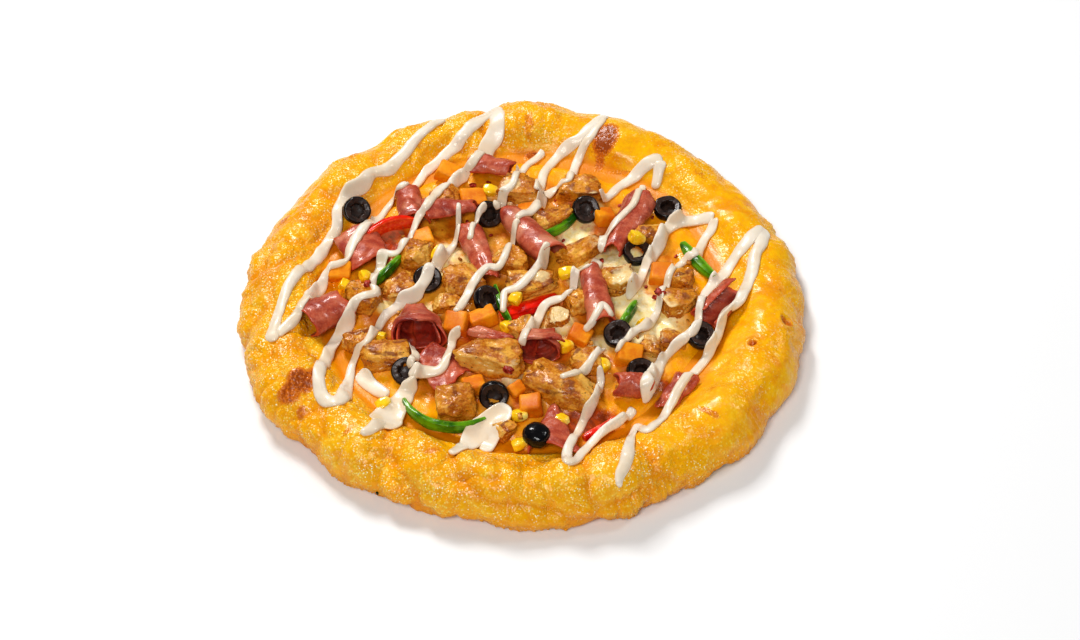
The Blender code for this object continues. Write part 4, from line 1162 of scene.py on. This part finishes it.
# Drizzle, as points of the photo with the strand's width in millimetres
mayonnaise = {
    "step": 1.0,
    "ring": 18,
    "widthShare": 0.84,
    "thickness": 1.8,
    "sink": 0.4,
    "bridge": 4.0,
    "smoothing": 5,
    "routes": (
        ((444, 120, 7), (417, 138, 7), (402, 156, 8), (388, 168, 8), (373, 173, 7), (363, 184, 8),
         (346, 198, 7), (338, 212, 7), (337, 228, 7), (329, 242, 7), (319, 257, 7), (303, 269, 7),
         (291, 282, 7), (283, 299, 7), (278, 315, 7), (274, 328, 8), (271, 343, 9)),
        ((275, 336, 8), (285, 328, 7), (298, 318, 7), (308, 298, 6), (325, 285, 6), (328, 272, 5),
         (343, 262, 5), (352, 245, 7), (360, 232, 7), (385, 213, 5), (396, 200, 5), (402, 186, 6),
         (424, 176, 6), (442, 159, 7), (466, 133, 8), (492, 112, 9)),
        ((496, 108, 9), (497, 124, 11), (494, 138, 12), (486, 150, 11), (472, 163, 8), (459, 175, 6),
         (438, 192, 7), (425, 207, 6), (418, 228, 5), (400, 250, 6), (385, 262, 7), (372, 285, 5),
         (376, 293, 6), (355, 307, 5), (350, 318, 6), (335, 345, 7), (325, 362, 7), (319, 380, 8),
         (322, 397, 9), (333, 402, 9), (343, 396, 9), (349, 381, 6), (355, 362, 5), (367, 342, 5),
         (378, 330, 5), (387, 317, 5), (405, 303, 6), (415, 294, 6), (427, 284, 7), (437, 268, 7),
         (450, 250, 6), (457, 232, 4), (459, 220, 3)),
        ((544, 152, 5), (525, 168, 5), (512, 185, 5), (503, 200, 6), (496, 212, 5)),
        ((537, 190, 6), (545, 172, 6), (560, 155, 7), (580, 138, 7), (596, 122, 8), (606, 117, 8)),
        ((604, 119, 6), (592, 135, 6), (582, 152, 6), (575, 168, 6), (568, 180, 5), (556, 190, 6),
         (545, 199, 8)),
        ((600, 203, 4), (620, 187, 7), (640, 171, 8), (655, 160, 10), (663, 158, 10)),
        ((661, 160, 9), (658, 176, 7), (654, 190, 6)),
        ((643, 186, 5), (636, 198, 5), (625, 212, 5), (610, 230, 6), (604, 245, 6), (600, 258, 5)),
        ((518, 225, 4), (516, 240, 4), (505, 255, 5), (497, 270, 5), (487, 280, 5), (470, 295, 6),
         (455, 312, 5)),
        ((548, 262, 5), (530, 275, 6), (517, 288, 6), (505, 302, 5), (503, 316, 4)),
        ((600, 262, 7), (585, 266, 7), (577, 277, 6), (570, 290, 5), (556, 302, 6), (543, 312, 6),
         (530, 328, 6), (521, 347, 5)),
        ((462, 336, 4), (453, 342, 5), (449, 355, 5), (440, 370, 7), (422, 378, 8), (409, 378, 6)),
        ((412, 348, 4), (416, 360, 5), (409, 374, 5)),
        ((714, 219, 7), (703, 219, 8), (682, 224, 8), (667, 231, 7), (659, 244, 7), (646, 269, 6),
         (636, 287, 6), (627, 301, 4)),
        ((714, 219, 7), (712, 230, 7), (704, 241, 6), (695, 253, 6), (681, 265, 5), (667, 287, 5),
         (658, 310, 5), (646, 325, 6), (635, 339, 5), (616, 356, 4)),
        ((597, 369, 4), (601, 380, 5), (598, 390, 4), (592, 404, 4), (584, 421, 5), (576, 440, 5),
         (568, 455, 6), (568, 462, 7), (577, 460, 6), (584, 453, 6), (603, 440, 5), (617, 430, 5),
         (628, 418, 5), (634, 408, 7)),
        ((640, 392, 8), (648, 382, 10), (658, 370, 7), (668, 356, 4), (682, 338, 6), (695, 328, 6),
         (700, 312, 5), (705, 296, 6), (722, 278, 8), (731, 264, 8), (748, 241, 9), (764, 229, 9)),
        ((765, 230, 8), (762, 243, 8), (755, 256, 8), (750, 278, 8), (739, 302, 7), (724, 322, 6),
         (718, 341, 5), (707, 358, 6), (689, 373, 6), (678, 389, 6), (670, 408, 6), (656, 424, 7),
         (646, 431, 6), (638, 427, 5), (632, 436, 5), (628, 452, 8), (625, 463, 8), (620, 476, 6),
         (619, 490, 4)),
        ((417, 380, 5), (409, 392, 9), (400, 405, 14), (389, 419, 19), (383, 429, 20)),
        ((396, 414, 11), (382, 424, 9), (370, 430, 7), (360, 434, 4)),
        ((508, 412, 10), (499, 422, 16), (488, 431, 18), (475, 440, 14), (463, 448, 9), (450, 457, 5)),
        ((498, 426, 14), (491, 440, 13), (484, 452, 7)),
        ((357, 375, 6), (366, 383, 9), (377, 391, 9), (389, 397, 6)),
        ((545, 199, 5), (536, 206, 7), (524, 214, 6), (516, 219, 4)),
        ((486, 210, 4), (478, 214, 4), (472, 226, 4), (470, 240, 4)),
        ((583, 330, 4), (592, 322, 5), (602, 322, 5), (612, 318, 4)),
        ((604, 352, 4), (590, 362, 5), (576, 372, 5), (560, 378, 4)),
    ),
}
mayoSupport = toppings + [crustPiece, bedPiece]
surfaceTree = treeOf(mayoSupport)
surfaceHeights = heightsOf(mayoSupport, 156, 0.0)
bridged = surfaceHeights.widened(mayonnaise["bridge"]).widened(mayonnaise["bridge"], np.minimum)
restHeights = bridged.blurred(1.8)
peakHeights = surfaceHeights.widened(1.0).blurred(0.8)
poolHeights = restHeights.widened(2.0).blurred(3.5)
print("heights of the whole pizza read")


# The spot of the pizza seen at a point of the photo, or the nearest one below it at the far edge
def seenAt(column, row):
    turn = camera.rotation_euler.to_matrix()
    hit = None
    while hit is None:
        across = column - view["targetPixel"][0]
        ray = Vector((across, view["targetPixel"][1] - row, -view["focalPixels"])).normalized()
        hit = surfaceTree.ray_cast(camera.location, turn @ ray)[0]
        row += 1
    return hit.x / mm, hit.y / mm


# A rope of sauce laid along a route: its arched top, and an underside sunk into what it lies on
def strandShape(points, seed):
    spots = [(*seenAt(column, row), width * mayonnaise["widthShare"]) for column, row, width in points]
    stations = smoothLine(spots, mayonnaise["step"])
    last = len(stations) - 1
    for _ in range(mayonnaise["smoothing"]):
        middles = zip(stations, stations[1:], stations[2:])
        stations[1:-1] = [(before + 2 * here + after) / 4 for before, here, after in middles]
    run = [0.0]
    for before, after in zip(stations, stations[1:]):
        run.append(run[-1] + math.hypot(after[0] - before[0], after[1] - before[1]))
    ring = mayonnaise["ring"]
    shape = bmesh.new()
    bmesh.ops.create_grid(shape, x_segments=last, y_segments=ring, size=1)
    thin = layer(shape, "thin")
    for corner in shape.verts:
        index = round((corner.co.x + 1) / 2 * last)
        turn = round((corner.co.y + 1) / 2 * ring) % ring / ring * math.tau
        station = stations[index]
        ahead = stations[min(index + 1, last)]
        behind = stations[max(index - 1, 0)]
        along = Vector((ahead[0] - behind[0], ahead[1] - behind[1])).normalized()
        waver = Vector((run[index] * 0.11, seed * 4.3, 0))
        half = station[2] / 2 * (1 + 0.12 * noise.noise(waver * 1.6))
        fromEnd = min(run[index], run[-1] - run[index])
        rounding = math.sqrt(max(0.0, 1 - (1 - min(1.0, fromEnd / max(half, 0.1))) ** 2))
        across = half * rounding * math.cos(turn) + 0.5 * noise.noise(waver + Vector((0, 7, 0)))
        x = station[0] + along.y * across
        y = station[1] - along.x * across
        # Wide pools are thinner, flatter on top and let the colour below through
        pool = smoothStep(7.5, 11, station[2])
        low = between(restHeights.at(x, y), poolHeights.at(x, y) - 1.0, pool)
        low = max(low, peakHeights.at(x, y) - mayonnaise["sink"] - pool)
        thick = min(mayonnaise["thickness"], 0.5 + 0.34 * station[2]) * (1 - 0.35 * pool)
        thick *= 1 + 0.15 * noise.noise(waver * 2 + Vector((0, 0, 3)))
        lift = math.sin(turn)
        if lift >= 0:
            lift = thick * lift ** between(0.75, 0.4, pool) * rounding ** between(1, 0.5, pool)
        else:
            lift = 1.4 * lift * rounding
        corner[thin] = max(1 - min(1.0, max(0.0, lift / thick)), 0.78 * pool)
        corner.co = Vector((x, y, low + lift + 0.1)) * mm
    bmesh.ops.remove_doubles(shape, verts=shape.verts, dist=0.002 * mm)
    bmesh.ops.recalc_face_normals(shape, faces=shape.faces)
    return shape


def allStrands():
    strands = bmesh.new()
    for index, points in enumerate(mayonnaise["routes"]):
        pour(strandShape(points, index), strands)
    return strands


def mayonnaiseFinish():
    finish = foodFinish("mayonnaise", 0.4, (0.4, 0.08, 1.35), 0.08, (1.26, 0.98, 0.7))
    broad = finish.noise(60)
    colour = finish.blend(broad, 0.35, 0.65, (242, 230, 212), (234, 216, 190))
    colour = finish.blend(finish.attribute("thin"), 0.7, 1.0, colour, (228, 180, 110), 0.8)
    normal = finish.bump(finish.noise(170, 2.0), 0.0004, 0.25)
    return finish.feed(colour=colour, roughness=0.28 + broad * 0.1, normal=normal)


addPiece("mayonnaiseDrizzle", allStrands(), mayonnaiseFinish())


# Scraps of the toppings on the bed, and crumbs of crisp cheese round the foot of the crust
scraps = {
    "count": 110,
    "reach": 92,
    "golden": 2.39996,
    # photo column, row, length in millimetres, tint
    "seen": (
        (660, 293, 6, 0.9), (367, 285, 5, 0.9), (508, 372, 6, 0.95), (640, 330, 4, 0.2), (355, 322, 4, 0.3),
        (473, 186, 4, 0.9), (615, 290, 4, 0.3), (540, 366, 4, 0.6), (690, 262, 4, 0.2), (520, 424, 4, 0.6),
        (656, 299, 4, 0.9), (430, 246, 4, 0.4), (590, 345, 4, 0.2), (560, 262, 4, 0.4),
        (377, 490, 2.2, 2.0),
    ),
}
crumbs = {
    "size": (0.7, 1.6),
    # first and last plan angle, count
    "runs": ((-152, -118, 46), (-112, -80, 22), (-74, -56, 34), (-50, -30, 16), (-20, 30, 24), (60, 200, 30)),
}


# One scrap with its tint, sunk a little into what it lies on
def addScrap(pieces, x, y, turn, ground, length, seed, tint):
    scrap = lumpShape(length, length * 0.62, length * 0.5, seed, 0.5, 0.4, 3, 1, 1.6)
    tintLayer = layer(scrap, "tint")
    for corner in scrap.verts:
        corner[tintLayer] = tint
    placeShape(scrap, x, y, turn, ground + 0.15 * length)
    pour(scrap, pieces)


def allScraps():
    pieces = bmesh.new()
    layer(pieces, "tint")
    tree = treeOf([bedPiece])
    for index in range(scraps["count"]):
        spot = onCircle(index * scraps["golden"]) * scraps["reach"]
        spot *= math.sqrt((index + 0.5) / scraps["count"])
        hit = tree.ray_cast(Vector((spot.x * mm, spot.y * mm, 0.1)), Vector((0, 0, -1)))[0]
        length = 2.2 + 2.2 * abs(noise.noise(Vector((index * 0.7, 3, 1))))
        addScrap(pieces, spot.x, spot.y, index * 47, hit.z / mm, length, index * 0.37, (index * 0.618) % 1)
    for index, (column, row, length, tint) in enumerate(scraps["seen"]):
        x, y = seenAt(column, row)
        addScrap(pieces, x, y, index * 71, surfaceHeights.at(x, y), length, index + 60.5, tint)
    return pieces


def scrapFinish():
    finish = Finish("scraps", {"Specular IOR Level": 0.35, "Roughness": 0.4})
    tint = finish.attribute("tint")
    middle = finish.noise(500)
    golden = finish.blend(middle, 0.35, 0.65, (226, 160, 62), (150, 82, 18))
    red = finish.blend(middle, 0.35, 0.65, (196, 74, 52), (130, 24, 12))
    colour = finish.blend(tint, 0.62, 0.66, golden, red)
    colour = finish.blend(tint, 1.4, 1.6, colour, (40, 46, 16))
    return finish.feed(colour=colour, normal=finish.bump(middle, 0.0004, 0.6))


addPiece("toppingScraps", allScraps(), scrapFinish())


def crumbShape():
    pieces = bmesh.new()
    tree = treeOf([crustPiece])
    for first, last, count in crumbs["runs"]:
        for index in range(count):
            seed = first + index * 1.37
            share = (index + 0.5) / count + 0.3 * noise.noise(Vector((seed, 1, 1))) / count
            outward = onCircle(math.radians(between(first, last, share)))
            level = 2.2 + 2.6 * noise.noise(Vector((seed, 5, 2)))
            hit = tree.ray_cast(outward * 0.17 + Vector((0, 0, level * mm)), -outward)[0]
            if hit:
                size = between(*crumbs["size"], 0.5 + noise.noise(Vector((seed, 2, 8))))
                crumb = lumpShape(size * 1.5, size, size, seed, 0.4, 0.5, 2, 1, 2.0)
                bmesh.ops.translate(crumb, verts=crumb.verts, vec=hit - outward * size * 0.1 * mm)
                pour(crumb, pieces)
    return pieces


addPiece("crustCrumbs", crumbShape(), crustPiece.data.materials[0])


# Plain pale floor and soft studio light
studio = {
    "floor": 3.0,
    "world": 0.12,
    # where the lights point
    "aim": (0, 0, 0.02),
    # name, place, size, power
    "lights": (
        ("backLight", (-0.5, 0.9, 1.2), 0.42, 15),
        ("rightLight", (0.95, 0.3, 1.05), 0.3, 2.5),
        ("frontFill", (-0.25, -1.1, 1.35), 0.6, 13),
    ),
}


def addStudio():
    shape = bmesh.new()
    bmesh.ops.create_grid(shape, x_segments=1, y_segments=1, size=studio["floor"])
    mesh = meshOf(shape, "floor")
    finish = Finish("paleFloor", {"Roughness": 0.85, "Specular IOR Level": 0.1})
    tone = finish.mix(finish.noise(3.0, 2.0), (250, 250, 250), (246, 246, 246))
    mesh.materials.append(finish.feed(colour=tone))
    addObject("floor", mesh)
    world = bpy.data.worlds.new("studio")
    world.use_nodes = True
    background = world.node_tree.nodes["Background"]
    background.inputs["Color"].default_value = (1.0, 1.0, 1.0, 1.0)
    background.inputs["Strength"].default_value = studio["world"]
    bpy.context.scene.world = world
    for name, place, size, power in studio["lights"]:
        data = bpy.data.lights.new(name, "AREA")
        data.size = size
        data.energy = power
        light = addObject(name, data)
        light.location = place
        light.rotation_euler = (Vector(studio["aim"]) - Vector(place)).to_track_quat("-Z", "Y").to_euler()


addStudio()
bpy.context.scene.view_settings.view_transform = "Standard"
bpy.context.scene.view_settings.look = "Medium High Contrast"
